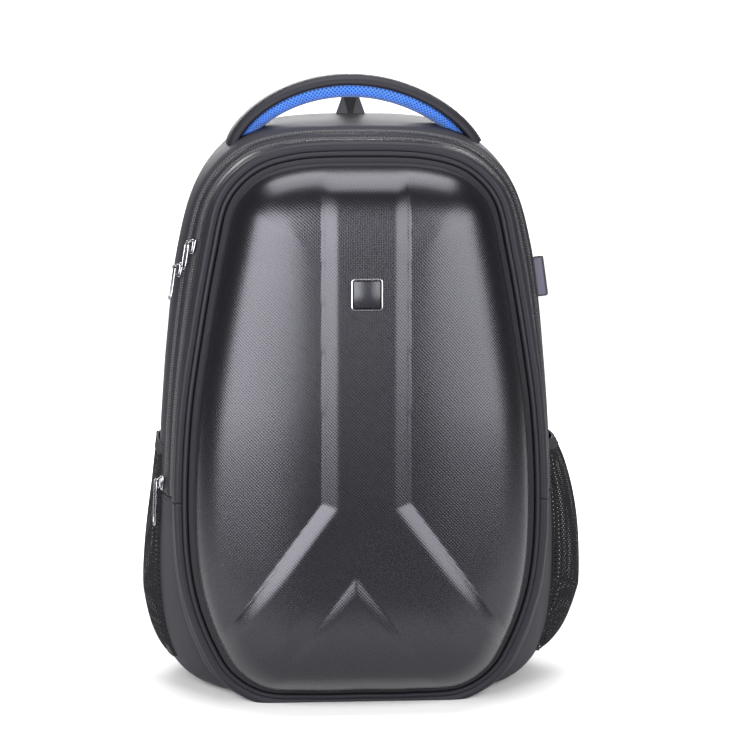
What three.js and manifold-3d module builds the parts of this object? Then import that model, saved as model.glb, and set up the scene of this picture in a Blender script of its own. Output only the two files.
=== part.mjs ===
// Hard shell backpack standing on its base: millimetres, +Z up, front towards -Y.
import * as THREE from 'three';
import { mergeVertices } from 'three/addons/utils/BufferGeometryUtils.js';
import Module from 'manifold-3d';

// Outline of the shell's rim, where the piping runs
const rimWidth = 284;
const rimTop = 444;
const rimBottom = 5;

// Outline of the body behind the rim
const bodyWidth = 330;
const bodyHeight = 458;
const bodyDepth = 150;
const topRise = 14;
const flareStart = 6;
const flareDepth = 95;
const flarePower = 2.1;
const wall = 3;
const gap = 0.3;

// Shell: dome over a flat flange, with a raised Y and a raised triangle at its foot
const shellWall = 3;
const flangeWidth = 4;
const domeHeight = 50;
const domePower = 2.4;
const sideRoll = 100;
const topRoll = 58;
const bottomRoll = 80;
const stemWidth = 67.5;
const kneeHeight = 172;
const armSlope = 0.735;
const armRise = 4.5;
const armFlank = 12;
const triangleHeight = 111;
const triangleSlope = 0.69;
const triangleRise = 2.2;
const triangleFlank = 8;
const reliefFade = 24;

// Bands and zips round the shell, front to back
const pipingRadius = 2.2;
const bandDepth = 26;
const lowBandDepth = 13;
const bandRoll = 9.2;
const zipWidth = 8;
const zipProud = 2.6;
const midBandWidth = 8.4;
const panelProud = 1.8;
const seamHeight = 165;
const backRound = 9;

// Back, finished plainly
const backPanelThickness = 9;
const backPanelCrown = 3;
const backPadThickness = 12;
const backPadWidth = 98;
const backPadHeight = 270;
const backPadSpacing = 122;
const backPadLift = 130;
const lumbarWidth = 172;
const lumbarHeight = 88;
const lumbarLift = 30;
const strapWidth = 64;
const strapThickness = 12;
const strapReach = 62;
const webbingWidth = 25;
const webbingThickness = 1.8;
const adjusterWidth = 34;
const adjusterHeight = 26;
const adjusterThickness = 4;
const adjusterRound = 3;

// Handle over the top
const handleDepth = 95;
const handleSpread = 97;
const handleSink = 13;
const handleRise = 38;
const handleLean = -4;
const coverThickness = 9;
const coverHalfDepth = 18;
const gripThickness = 10;
const gripHalfDepth = 15;
const hangLoopWidth = 27;
const hangLoopTopWidth = 13;
const hangLoopHeight = 25;
const hangLoopThickness = 2;

// Side pockets of net
const pocketTop = 205;
const pocketBottom = 27;
const pocketSetback = 5;
const pocketDepth = 76;
const pocketBellyHeight = 78;
const pocketBulgeLeft = 10;
const pocketBulgeRight = 23;
const pocketFullnessLeft = 1.6;
const pocketFullnessRight = 3.5;
const pocketWall = 1.4;
const hemHeight = 9;
const hemThickness = 2.4;

// Hardware
const badgeSize = 25;
const badgeHeight = 338;
const badgeFrameWidth = 1.8;
const badgeThickness = 3;
const sliderLength = 12;
const sliderWidth = 9;
const sliderThickness = 5;
const sliderRound = 2;
const sliderBevel = 1;
const pullWidth = 6.5;
const pullWire = 1.5;
const frontSliderHeight = 368;
const frontPullLength = 22;
const mainSliderHeight = 348;
const mainPullLength = 28;
const lowSliderHeight = 174;
const lowPullLength = 38;
const tabHeight = 33;
const tabReach = 9;
const tabThickness = 3;
const tabCentre = 340;
const tabRound = 2;

// Number of steps round the outline, and of steps in smaller pieces
const outlineSteps = 60;
const fineSteps = 240;

const wasm = await Module();
wasm.setup();

// Right half of the outlines, from top centre to bottom centre. Reach is a share of half the width,
// rise a share of the height.
const outlineRows = [
  { rimReach: 0, rimRise: 1, bodyReach: 0, bodyRise: 1 },
  { rimReach: 0.366, rimRise: 0.995, bodyReach: 0.376, bodyRise: 0.9935 },
  { rimReach: 0.563, rimRise: 0.977, bodyReach: 0.576, bodyRise: 0.974 },
  { rimReach: 0.683, rimRise: 0.948, bodyReach: 0.703, bodyRise: 0.941 },
  { rimReach: 0.761, rimRise: 0.911, bodyReach: 0.8, bodyRise: 0.891 },
  { rimReach: 0.827, rimRise: 0.822, bodyReach: 0.875, bodyRise: 0.795 },
  { rimReach: 0.908, rimRise: 0.677, bodyReach: 0.925, bodyRise: 0.666 },
  { rimReach: 0.975, rimRise: 0.524, bodyReach: 0.961, bodyRise: 0.515 },
  { rimReach: 1, rimRise: 0.364, bodyReach: 0.984, bodyRise: 0.36 },
  { rimReach: 0.986, rimRise: 0.253, bodyReach: 1, bodyRise: 0.247 },
  { rimReach: 0.944, rimRise: 0.178, bodyReach: 1, bodyRise: 0.17 },
  { rimReach: 0.859, rimRise: 0.1025, bodyReach: 0.975, bodyRise: 0.096 },
  { rimReach: 0.754, rimRise: 0.0456, bodyReach: 0.915, bodyRise: 0.0437 },
  { rimReach: 0.577, rimRise: 0.008, bodyReach: 0.81, bodyRise: 0.0109 },
  { rimReach: 0.282, rimRise: 0, bodyReach: 0.58, bodyRise: 0 },
  { rimReach: 0, rimRise: 0, bodyReach: 0, bodyRise: 0 },
];

function outlineCurve(reach, rise) {
  const right = outlineRows.map((row) => new THREE.Vector3(reach(row), 0, rise(row)));
  const left = right.slice(1, -1).reverse().map((p) => new THREE.Vector3(-p.x, 0, p.z));
  return new THREE.CatmullRomCurve3([...right, ...left], true, 'centripetal');
}

const rimCurve = outlineCurve(
  (row) => row.rimReach * rimWidth / 2,
  (row) => rimBottom + row.rimRise * (rimTop - rimBottom),
);
const bodyCurve = outlineCurve(
  (row) => row.bodyReach * bodyWidth / 2,
  (row) => row.bodyRise * bodyHeight,
);

// Direction out of a closed outline that runs clockwise seen from the front
function outward(curve, u) {
  const tangent = curve.getTangent(u);
  return new THREE.Vector3(-tangent.z, 0, tangent.x).normalize();
}

// Point of the outer skin: u runs round the outline, deep is the distance behind the rim,
// out the distance outside the skin
function skinPoint(u, deep, out) {
  const turn = ((u % 1) + 1) % 1;
  const flare = THREE.MathUtils.clamp((deep - flareStart) / (flareDepth - flareStart), 0, 1);
  const grown = 1 - (1 - flare) ** flarePower;
  const normal = outward(rimCurve, turn).lerp(outward(bodyCurve, turn), grown).normalize();
  const point = rimCurve.getPoint(turn).lerp(bodyCurve.getPoint(turn), grown);
  point.addScaledVector(normal, out);
  point.z += topRise * Math.max(0, deep / bodyDepth) * Math.max(0, normal.z) ** 2;
  point.z = Math.max(0, point.z);
  point.y = deep;
  return point;
}

// Outline parameter on one side (1 right, -1 left) where the skin at a depth has a height
function turnAtHeight(height, deep, side) {
  let high = 0.05;
  let low = 0.45;
  for (let i = 0; i < 30; i += 1) {
    const middle = (high + low) / 2;
    if (skinPoint(middle, deep, 0).z > height) high = middle;
    else low = middle;
  }
  return side > 0 ? high : 1 - high;
}

// Mesh helpers

function surface(points, triangles) {
  const geometry = new THREE.BufferGeometry();
  const places = points.flatMap((p) => [p.x, p.y, p.z]);
  geometry.setAttribute('position', new THREE.Float32BufferAttribute(places, 3));
  let volume = 0;
  for (let i = 0; i < triangles.length; i += 3) {
    const [a, b, c] = [points[triangles[i]], points[triangles[i + 1]], points[triangles[i + 2]]];
    volume += a.dot(new THREE.Vector3().crossVectors(b, c));
  }
  geometry.setIndex(volume < 0 ? triangles.slice().reverse() : triangles);
  return geometry;
}

// Closed solid through rings of points: either the last ring joins the first, or both ends are capped
function loft(rings, looped) {
  const points = rings.flat();
  const size = rings[0].length;
  const triangles = [];
  const bands = looped ? rings.length : rings.length - 1;
  for (let i = 0; i < bands; i += 1) {
    const a = i * size;
    const b = ((i + 1) % rings.length) * size;
    for (let j = 0; j < size; j += 1) {
      const k = (j + 1) % size;
      triangles.push(a + j, b + j, b + k, a + j, b + k, a + k);
    }
  }
  if (!looped) {
    for (const [start, order] of [[0, 1], [(rings.length - 1) * size, -1]]) {
      const centre = new THREE.Vector3();
      for (let j = 0; j < size; j += 1) centre.addScaledVector(points[start + j], 1 / size);
      const hub = points.push(centre) - 1;
      for (let j = 0; j < size; j += 1) {
        const k = (j + 1) % size;
        if (order > 0) triangles.push(hub, start + j, start + k);
        else triangles.push(hub, start + k, start + j);
      }
    }
  }
  return surface(points, triangles);
}

// Closed solid between two grids of points with the same rows and columns
function slab(outer, inner) {
  const rows = outer.length;
  const columns = outer[0].length;
  const points = [...outer.flat(), ...inner.flat()];
  const back = rows * columns;
  const triangles = [];
  const quad = (a, b, c, d) => triangles.push(a, b, c, a, c, d);
  for (let i = 0; i < rows - 1; i += 1) {
    for (let j = 0; j < columns - 1; j += 1) {
      const a = i * columns + j;
      quad(a, a + 1, a + columns + 1, a + columns);
      quad(back + a, back + a + columns, back + a + columns + 1, back + a + 1);
    }
  }
  const edge = [];
  for (let j = 0; j < columns - 1; j += 1) edge.push(j);
  for (let i = 0; i < rows - 1; i += 1) edge.push(i * columns + columns - 1);
  for (let j = columns - 1; j > 0; j -= 1) edge.push((rows - 1) * columns + j);
  for (let i = rows - 1; i > 0; i -= 1) edge.push(i * columns);
  edge.forEach((a, n) => {
    const b = edge[(n + 1) % edge.length];
    quad(a, back + a, back + b, b);
  });
  return surface(points, triangles);
}

function toManifold(geometry) {
  const bare = geometry.clone();
  bare.deleteAttribute('normal');
  bare.deleteAttribute('uv');
  const merged = mergeVertices(bare, 1e-4);
  return new wasm.Manifold(new wasm.Mesh({
    numProp: 3,
    vertProperties: new Float32Array(merged.attributes.position.array),
    triVerts: new Uint32Array(merged.index.array),
  }));
}

function toGeometry(manifold) {
  const { vertProperties, triVerts, numProp } = manifold.getMesh();
  const points = [];
  for (let i = 0; i < vertProperties.length; i += numProp) {
    points.push(new THREE.Vector3(vertProperties[i], vertProperties[i + 1], vertProperties[i + 2]));
  }
  return surface(points, Array.from(triVerts));
}

function box(low, high) {
  const size = new THREE.Vector3().subVectors(high, low);
  const geometry = new THREE.BoxGeometry(size.x, size.y, size.z);
  const centre = new THREE.Vector3().addVectors(low, high).multiplyScalar(0.5);
  return toManifold(geometry.translate(centre.x, centre.y, centre.z));
}

// Further than any piece reaches
const beyond = 2 * bodyHeight;

function boxBelow(height, fromDeep = -beyond, toDeep = beyond) {
  return box(new THREE.Vector3(-beyond, fromDeep, -beyond), new THREE.Vector3(beyond, toDeep, height));
}

// Ring that follows the skin all the way round, from a closed section of deep and out
function skinRing(section) {
  const rings = [];
  for (let i = 0; i < outlineSteps; i += 1) {
    rings.push(section.map(([deep, out]) => skinPoint(i / outlineSteps, deep, out)));
  }
  return loft(rings, true);
}

// Materials

function finish(color, roughness, metalness = 0) {
  return new THREE.MeshStandardMaterial({ color, roughness, metalness });
}

const shellFinish = finish('#3c3a45', 0.42);
const clothFinish = finish('#45434d', 0.6);
const darkCloth = finish('#2f2d34', 0.75);
const zipFinish = finish('#1d1c20', 0.7);
const netFinish = finish('#141416', 0.85);
const gripFinish = finish('#2a66d8', 0.8);
const steelFinish = finish('#d6d8da', 0.2, 1);
const plateFinish = finish('#17171b', 0.3, 0.6);
const paddingFinish = finish('#26252b', 0.9);
const plasticFinish = finish('#1c1c1f', 0.5);

const group = new THREE.Group();

function add(name, geometry, material) {
  const mesh = new THREE.Mesh(geometry, material);
  mesh.name = name;
  group.add(mesh);
}

// Shell

// Edge of the shell: the rim outline, inside the piping
const shellInset = pipingRadius + 2 * gap;
const shellEdge = [];
for (let i = 0; i < fineSteps; i += 1) {
  const u = i / fineSteps;
  shellEdge.push(rimCurve.getPoint(u).addScaledVector(outward(rimCurve, u), -shellInset));
}
const cornerTurns = { top: 0.105, bottom: 0.395 };

function edgeHeight(x, fromTurn, toTurn) {
  const from = Math.round(fromTurn * fineSteps);
  const to = Math.round(toTurn * fineSteps);
  for (let i = from; i <= to; i += 1) {
    const a = shellEdge[i % fineSteps];
    const b = shellEdge[(i + 1) % fineSteps];
    if ((a.x - x) * (b.x - x) <= 0 && a.x !== b.x) return a.z + (b.z - a.z) * (x - a.x) / (b.x - a.x);
  }
  return shellEdge[from].z;
}

function edgeReach(height) {
  const from = Math.round(cornerTurns.top * fineSteps);
  const to = Math.round(cornerTurns.bottom * fineSteps);
  for (let i = from; i < to; i += 1) {
    const a = shellEdge[i];
    const b = shellEdge[i + 1];
    if (a.z >= height && b.z <= height) return a.x + (b.x - a.x) * (a.z - height) / (a.z - b.z);
  }
  return height > kneeHeight ? shellEdge[from].x : shellEdge[to].x;
}

function distanceToEdge(x, z) {
  let nearest = Infinity;
  for (let i = 0; i < fineSteps; i += 1) {
    const a = shellEdge[i];
    const b = shellEdge[(i + 1) % fineSteps];
    const dx = b.x - a.x;
    const dz = b.z - a.z;
    const share = THREE.MathUtils.clamp(((x - a.x) * dx + (z - a.z) * dz) / (dx * dx + dz * dz), 0, 1);
    nearest = Math.min(nearest, Math.hypot(a.x + share * dx - x, a.z + share * dz - z));
  }
  return nearest;
}

function roundedStep(inside, flank) {
  const share = THREE.MathUtils.clamp(inside / flank, 0, 1);
  return Math.sqrt(1 - (1 - share) ** 2);
}

function armReach(z) {
  return stemWidth / 2 + Math.max(0, kneeHeight - z) * armSlope;
}

function triangleReach(z) {
  return Math.max(0, triangleHeight - z) * triangleSlope;
}

// Height of the shell's face in front of the rim
function shellRise(x, z) {
  const inside = distanceToEdge(x, z) - flangeWidth;
  if (inside <= 0) return 0;
  const upper = THREE.MathUtils.smoothstep(z, rimTop * 0.55, rimTop);
  const lower = 1 - THREE.MathUtils.smoothstep(z, rimBottom, rimTop * 0.45);
  const roll = sideRoll + (topRoll - sideRoll) * upper + (bottomRoll - sideRoll) * lower;
  const share = Math.min(1, inside / roll);
  const dome = domeHeight * (1 - (1 - share) ** domePower) ** (1 / domePower);
  const stem = stemWidth / 2 - Math.abs(x);
  const arms = (armReach(z) - Math.abs(x)) / Math.hypot(1, armSlope);
  const triangle = (triangleReach(z) - Math.abs(x)) / Math.hypot(1, triangleSlope);
  const relief = armRise * roundedStep(z < kneeHeight ? Math.max(stem, arms) : stem, armFlank)
    + triangleRise * roundedStep(triangle, triangleFlank);
  return dome + relief * THREE.MathUtils.smoothstep(inside, 0, reliefFade);
}

// Columns of half a row, from the middle to the edge: the relief's lines and then shares of the rest
const wingShares = [0.32, 0.6, 0.8, 0.92];
const reliefReach = 0.86;
const narrowest = 3;

function columnsAt(half, z) {
  const flangeStart = half - flangeWidth;
  const reliefEnd = flangeStart * reliefReach;
  const foot = Math.min(armReach(z), reliefEnd);
  const shoulder = foot - armFlank * (z < kneeHeight ? Math.hypot(1, armSlope) : 1);
  const middle = foot - (foot - shoulder) * 0.45;
  const inner = Math.min(triangleReach(z), shoulder - narrowest);
  const crest = inner > 0 ? Math.max(inner - triangleFlank * Math.hypot(1, triangleSlope), inner * 0.4) : 0;
  const core = inner > 2 * narrowest ? [crest, inner] : [shoulder / 3, shoulder * 2 / 3];
  const wing = wingShares.map((share) => foot + (flangeStart - foot) * share);
  return [0, ...core, shoulder, middle, foot, ...wing, flangeStart - narrowest / 2, flangeStart, half];
}

function rowShares() {
  const apex = (triangleHeight - cornerLow.z) / (cornerHigh.z - cornerLow.z);
  const knee = (kneeHeight - cornerLow.z) / (cornerHigh.z - cornerLow.z);
  const lowSteps = 8;
  const highSteps = 12;
  const shares = [];
  for (let i = 0; i < lowSteps; i += 1) shares.push(apex * (1 - Math.cos(Math.PI * i / lowSteps / 2)));
  shares.push(apex, (apex + knee) / 2);
  for (let i = 0; i <= highSteps; i += 1) {
    shares.push(knee + (1 - knee) * Math.sin(Math.PI * i / highSteps / 2));
  }
  return shares;
}

const cornerHigh = shellEdge[Math.round(cornerTurns.top * fineSteps)];
const cornerLow = shellEdge[Math.round(cornerTurns.bottom * fineSteps)];

function shellGrid() {
  return rowShares().map((t) => {
    const side = cornerLow.z + (cornerHigh.z - cornerLow.z) * t;
    const half = edgeReach(side);
    const right = columnsAt(half, side).map((x) => {
      const share = x / half;
      const bottom = edgeHeight(share * cornerLow.x, cornerTurns.bottom, 0.5) - cornerLow.z;
      const top = edgeHeight(share * cornerHigh.x, 0, cornerTurns.top) - cornerHigh.z;
      return { x, z: side + (1 - t) * bottom + t * top };
    });
    return [...right.slice(1).reverse().map(({ x, z }) => ({ x: -x, z })), ...right];
  });
}

function frontShell() {
  const grid = shellGrid();
  const outer = grid.map((row) => row.map(({ x, z }) => new THREE.Vector3(x, -shellRise(x, z), z)));
  const inner = outer.map((row) => row.map((p) => new THREE.Vector3(p.x, p.y + shellWall, p.z)));
  return slab(outer, inner);
}

function shellPiping() {
  const sides = 6;
  const section = [];
  for (let i = 0; i < sides; i += 1) {
    const angle = (i + 0.5) * 2 * Math.PI / sides;
    section.push([pipingRadius * Math.sin(angle), pipingRadius * Math.cos(angle)]);
  }
  return skinRing(section);
}

// Bands and zips

const bandStart = bandDepth + gap;
const frontZipEnd = bandStart + zipWidth;
const midBandEnd = frontZipEnd + gap + midBandWidth;
const mainZipEnd = midBandEnd + gap + zipWidth;
const gussetStart = mainZipEnd + gap;

// Section of the rolled rim, after its seat on the piping: deep as a share of bandDepth, out as a
// share of bandRoll
const bandRows = [
  { deep: 0.02, out: 0.5 },
  { deep: 0.02, out: 0.72 },
  { deep: 0.11, out: 0.96 },
  { deep: 0.29, out: 1 },
  { deep: 0.52, out: 0.78 },
  { deep: 0.77, out: 0.46 },
  { deep: 1, out: 0.24 },
  { deep: 1, out: -0.09 },
  { deep: 0.52, out: 0.24 },
];

function frontBand() {
  const seat = pipingRadius + 1.2 * gap;
  const roll = bandRows.map(({ deep, out }) => [deep * bandDepth, out * bandRoll]);
  const section = [[bandDepth * 0.2, seat], [seat * 0.5, seat * 0.87], ...roll];
  const lowCut = boxBelow(seamHeight, lowBandDepth, beyond);
  return toGeometry(toManifold(skinRing(section)).subtract(lowCut));
}

function aboveSeam(section) {
  return toGeometry(toManifold(skinRing(section)).subtract(boxBelow(seamHeight + gap)));
}

// How far the underside of the strips and zips lies inside the skin
const stripBack = 1;

function stripSection(start, width, proud) {
  return [
    [start, proud * 0.6],
    [start + width * 0.2, proud],
    [start + width * 0.8, proud],
    [start + width, proud * 0.6],
    [start + width, -stripBack],
    [start, -stripBack],
  ];
}

function zipSection(start) {
  const tape = panelProud * 0.4;
  return [
    [start, tape],
    [start + zipWidth * 0.25, tape],
    [start + zipWidth * 0.38, zipProud],
    [start + zipWidth * 0.62, zipProud],
    [start + zipWidth * 0.75, tape],
    [start + zipWidth, tape],
    [start + zipWidth, -stripBack],
    [start, -stripBack],
  ];
}

// Wall of the body from a depth to the rounded back edge
function wallSection(start) {
  const end = bodyDepth;
  return [
    [start, panelProud],
    [start + (end - start) * 0.12, panelProud],
    [start + (end - start) * 0.5, panelProud * 0.5],
    [end - backRound, 0],
    [end - backRound * 0.3, -backRound * 0.3],
    [end, -backRound],
    [end - wall, -backRound - wall * 0.4],
    [end - backRound - wall * 0.4, -wall],
    [start, panelProud - wall],
  ];
}

function basePanel() {
  return toGeometry(toManifold(skinRing(wallSection(lowBandDepth + gap))).intersect(boxBelow(seamHeight)));
}

// Back

// Solid disc inside the skin's outline, from rows of deep and distance in from the skin
function skinDisc(rows) {
  const rings = rows.map(({ deep, inset }) => {
    const ring = [];
    for (let i = 0; i < outlineSteps; i += 1) {
      const point = skinPoint(i / outlineSteps, bodyDepth, -inset);
      point.y = deep;
      ring.push(point);
    }
    return ring;
  });
  return loft(rings, false);
}

function backPanel() {
  const edge = backRound + wall * 0.4 + gap;
  const face = bodyDepth + backPanelCrown;
  return skinDisc([
    { deep: face - backPanelThickness, inset: edge + backPanelThickness * 0.2 },
    { deep: bodyDepth, inset: edge },
    { deep: face - backPanelCrown * 0.2, inset: edge + backPanelCrown * 2 },
    { deep: face, inset: edge + backPanelCrown * 4.5 },
  ]);
}

// Cushion with a rounded oblong outline, flat behind and crowned in front
function cushion(x, z, width, height, thickness) {
  const steps = 20;
  const squareness = 0.35;
  const base = bodyDepth + backPanelCrown + gap;
  const layers = [
    { deep: 0, share: 0.97 },
    { deep: 0.4, share: 1 },
    { deep: 0.85, share: 0.93 },
    { deep: 1, share: 0.8 },
  ];
  return loft(layers.map(({ deep, share }) => {
    const ring = [];
    for (let i = 0; i < steps; i += 1) {
      const angle = 2 * Math.PI * (i + 0.5) / steps;
      const across = Math.sign(Math.cos(angle)) * Math.abs(Math.cos(angle)) ** squareness;
      const up = Math.sign(Math.sin(angle)) * Math.abs(Math.sin(angle)) ** squareness;
      const inset = (1 - share) * Math.min(width, height) / 2;
      ring.push(new THREE.Vector3(
        x + across * (width / 2 - inset),
        base + deep * thickness,
        z + up * (height / 2 - inset),
      ));
    }
    return ring;
  }), false);
}

// Shoulder strap, from its seat at the top of the back to the lower corner of the body. Back is a
// share of strapReach behind the back's pads, rise of bodyHeight, apart of half the bodyWidth, broad
// of strapWidth and thick of strapThickness.
const strapRows = [
  { back: 0.12, rise: 0.945, apart: 0.27, broad: 0.8, thick: 0.6 },
  { back: 0.55, rise: 0.93, apart: 0.29, broad: 0.9, thick: 0.9 },
  { back: 0.86, rise: 0.86, apart: 0.32, broad: 1, thick: 1 },
  { back: 1, rise: 0.74, apart: 0.36, broad: 1, thick: 1 },
  { back: 0.98, rise: 0.6, apart: 0.41, broad: 1, thick: 1 },
  { back: 0.84, rise: 0.47, apart: 0.47, broad: 0.92, thick: 0.9 },
  { back: 0.66, rise: 0.38, apart: 0.53, broad: 0.66, thick: 0.6 },
];
const strapFace = bodyDepth + backPanelCrown + gap;

function strapPoint(row, side) {
  return new THREE.Vector3(
    side * row.apart * bodyWidth / 2,
    strapFace + backPadThickness + row.back * strapReach,
    row.rise * bodyHeight,
  );
}

// Frame along a path: width runs across the body, thickness away from the path's inside
function acrossPath(tangent) {
  const across = new THREE.Vector3(1, 0, 0).addScaledVector(tangent, -tangent.x).normalize();
  const away = new THREE.Vector3().crossVectors(across, tangent).normalize();
  return { across, away };
}

function strap(side) {
  const path = new THREE.CatmullRomCurve3(strapRows.map((row) => strapPoint(row, side)));
  const steps = 14;
  const rings = [];
  for (let i = 0; i <= steps; i += 1) {
    const share = i / steps;
    const place = share * (strapRows.length - 1);
    const row = strapRows[Math.min(Math.floor(place), strapRows.length - 2)];
    const next = strapRows[Math.min(Math.floor(place) + 1, strapRows.length - 1)];
    const part = place - Math.min(Math.floor(place), strapRows.length - 2);
    const width = strapWidth * (row.broad + (next.broad - row.broad) * part) / 2;
    const thick = strapThickness * (row.thick + (next.thick - row.thick) * part) / 2;
    const { across, away } = acrossPath(path.getTangent(share));
    const corners = [[1, 0], [0.85, 1], [0, 1.05], [-0.85, 1], [-1, 0], [-0.85, -1], [0, -1.05], [0.85, -1]];
    rings.push(corners.map(([a, b]) => path.getPoint(share)
      .addScaledVector(across, a * width).addScaledVector(away, b * thick)));
  }
  return { geometry: loft(rings, false), end: path.getPoint(1), tangent: path.getTangent(1) };
}

function ribbon(path, width, thickness, steps) {
  const rings = [];
  for (let i = 0; i <= steps; i += 1) {
    const { across, away } = acrossPath(path.getTangent(i / steps));
    rings.push([[1, 1], [-1, 1], [-1, -1], [1, -1]].map(([a, b]) => path.getPoint(i / steps)
      .addScaledVector(across, a * width / 2).addScaledVector(away, b * thickness / 2)));
  }
  return loft(rings, false);
}

function roundedOblong(shape, width, height, radius) {
  const w = width / 2 - radius;
  const h = height / 2 - radius;
  shape.absarc(w, h, radius, 0, Math.PI / 2);
  shape.absarc(-w, h, radius, Math.PI / 2, Math.PI);
  shape.absarc(-w, -h, radius, Math.PI, 1.5 * Math.PI);
  shape.absarc(w, -h, radius, 1.5 * Math.PI, 2 * Math.PI);
  return shape;
}

// Plate with its width along X and its height along Z, centred at the origin; a hole is a path
function plate(width, height, thickness, radius, holes = []) {
  const shape = roundedOblong(new THREE.Shape(), width, height, radius);
  shape.holes.push(...holes);
  const settings = { depth: thickness, bevelEnabled: false, curveSegments: 2 };
  const geometry = new THREE.ExtrudeGeometry(shape, settings);
  return geometry.translate(0, 0, -thickness / 2).rotateX(Math.PI / 2);
}

function shoulderStrap(side, name) {
  const { geometry, end, tangent } = strap(side);
  add(`strap_${name}`, geometry, paddingFinish);

  const { across, away } = acrossPath(tangent);
  const turn = new THREE.Matrix4().makeBasis(across, away, tangent.clone().negate());
  const adjuster = plate(adjusterWidth, adjusterHeight, adjusterThickness, adjusterRound);
  const seat = end.clone().addScaledVector(tangent, adjusterHeight / 2 + gap);
  add(`strap_adjuster_${name}`, adjuster.applyMatrix4(turn.setPosition(seat)), plasticFinish);

  const start = seat.clone().addScaledVector(tangent, adjusterHeight / 2 + gap);
  const footDepth = strapFace + webbingThickness / 2 + gap;
  const foot = new THREE.Vector3(side * bodyWidth * 0.37, footDepth, bodyHeight * 0.08);
  const bend = start.clone().lerp(foot, 0.85);
  bend.y = foot.y;
  const lead = start.clone().addScaledVector(tangent, adjusterHeight);
  const path = new THREE.CubicBezierCurve3(start, lead, bend, foot);
  add(`strap_webbing_${name}`, ribbon(path, webbingWidth, webbingThickness, 8), darkCloth);
}

// Handle

// Solid of everything inside the skin, swollen by a clearance
function skinBlock(clearance) {
  const rings = [gussetStart + gap, bodyDepth * 0.55, bodyDepth - backRound].map((deep) => {
    const ring = [];
    for (let i = 0; i < outlineSteps; i += 1) {
      ring.push(skinPoint(i / outlineSteps, deep, panelProud + clearance));
    }
    return ring;
  });
  return toManifold(loft(rings, false));
}

// Arch of the seam between cover and grip, from its feet inside the body to its rise above the top
function handlePoint(angle) {
  return new THREE.Vector3(
    handleSpread * Math.cos(angle) + handleLean * Math.sin(angle),
    handleDepth,
    bodyHeight - handleSink + (handleRise + handleSink) * Math.max(0, Math.sin(angle)) ** 1.4,
  );
}

// Bar that follows the handle's arch: lift is measured from the seam between cover and grip
function handleBar(lowLift, highLift, halfDepthAt, thicknessAt, margin) {
  const steps = 20;
  const rings = [];
  for (let i = 0; i <= steps; i += 1) {
    const angle = margin + (Math.PI - 2 * margin) * i / steps;
    const centre = handlePoint(angle);
    const tangent = handlePoint(angle + 0.01).sub(handlePoint(angle - 0.01)).normalize();
    const normal = new THREE.Vector3(tangent.z, 0, -tangent.x);
    const end = Math.abs(angle - Math.PI / 2) / (Math.PI / 2);
    const halfDepth = halfDepthAt(end);
    const thickness = thicknessAt(end);
    const corners = [[-1, 0.12], [-0.95, 0.6], [-0.6, 0.93], [0, 1], [0.6, 0.93], [0.95, 0.6], [1, 0.12],
      [0.9, 0], [-0.9, 0]];
    rings.push(corners.map(([a, b]) => centre.clone()
      .addScaledVector(normal, lowLift + (highLift - lowLift) * thickness * b)
      .add(new THREE.Vector3(0, a * halfDepth, 0))));
  }
  return loft(rings, false);
}

function handleCover(block) {
  const bar = handleBar(0, coverThickness, (end) => coverHalfDepth * (1 + 0.5 * end ** 3), () => 1, 0.12);
  return toGeometry(toManifold(bar).subtract(block));
}

function handleGrip(block) {
  const bar = handleBar(-gap, -gripThickness, () => gripHalfDepth, (end) => 1 - 0.45 * end ** 3, 0.3);
  return toGeometry(toManifold(bar).subtract(block));
}

// Webbing loop behind the handle, folded so that it narrows to the top
function hangLoop() {
  const base = skinPoint(0, bodyDepth - backRound, gap).z;
  const half = hangLoopWidth / 2;
  const top = hangLoopTopWidth / 2;
  const outline = [[-half, 0], [-top, hangLoopHeight], [top, hangLoopHeight], [half, 0]];
  const shape = new THREE.Shape(outline.map(([x, z]) => new THREE.Vector2(x, z)));
  const geometry = new THREE.ExtrudeGeometry(shape, { depth: hangLoopThickness, bevelEnabled: false });
  return geometry.rotateX(Math.PI / 2).translate(0, bodyDepth - backRound, base);
}

// Side pockets

// Net wall that stands off the side of the body: share 0 to 1 runs from the front to the back seam.
// The net leans in from its belly to its hem, the more slowly the fuller it is.
function pocketPoint({ side, bulge, fullness }, height, share, thickness) {
  const deep = gussetStart + pocketSetback + pocketDepth * share;
  const below = THREE.MathUtils.clamp((height - pocketBottom) / (pocketBellyHeight - pocketBottom), 0, 1);
  const above = THREE.MathUtils.clamp((height - pocketBellyHeight) / (pocketTop - pocketBellyHeight), 0, 1);
  const belly = Math.sin(Math.PI * share) ** 0.7 * Math.sqrt(below) * (1 - 0.85 * above ** fullness);
  const u = turnAtHeight(height, deep, side);
  return skinPoint(u, deep, panelProud + gap + thickness + Math.max(0, bulge * belly - pocketWall));
}

function pocketPiece(pocket, low, high, steps, thickness) {
  const columns = 10;
  const grid = (out) => {
    const rows = [];
    for (let i = 0; i <= steps; i += 1) {
      const row = [];
      for (let j = 0; j <= columns; j += 1) {
        row.push(pocketPoint(pocket, low + (high - low) * i / steps, j / columns, out));
      }
      rows.push(row);
    }
    return rows;
  };
  return slab(grid(thickness), grid(0));
}

function sidePocket(pocket) {
  const hemStart = pocketTop - hemHeight;
  const net = pocketPiece(pocket, pocketBottom, hemStart - gap, 10, pocketWall);
  add(`side_pocket_${pocket.name}`, net, netFinish);
  add(`pocket_hem_${pocket.name}`, pocketPiece(pocket, hemStart, pocketTop, 2, hemThickness), darkCloth);
}

// Hardware

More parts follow.
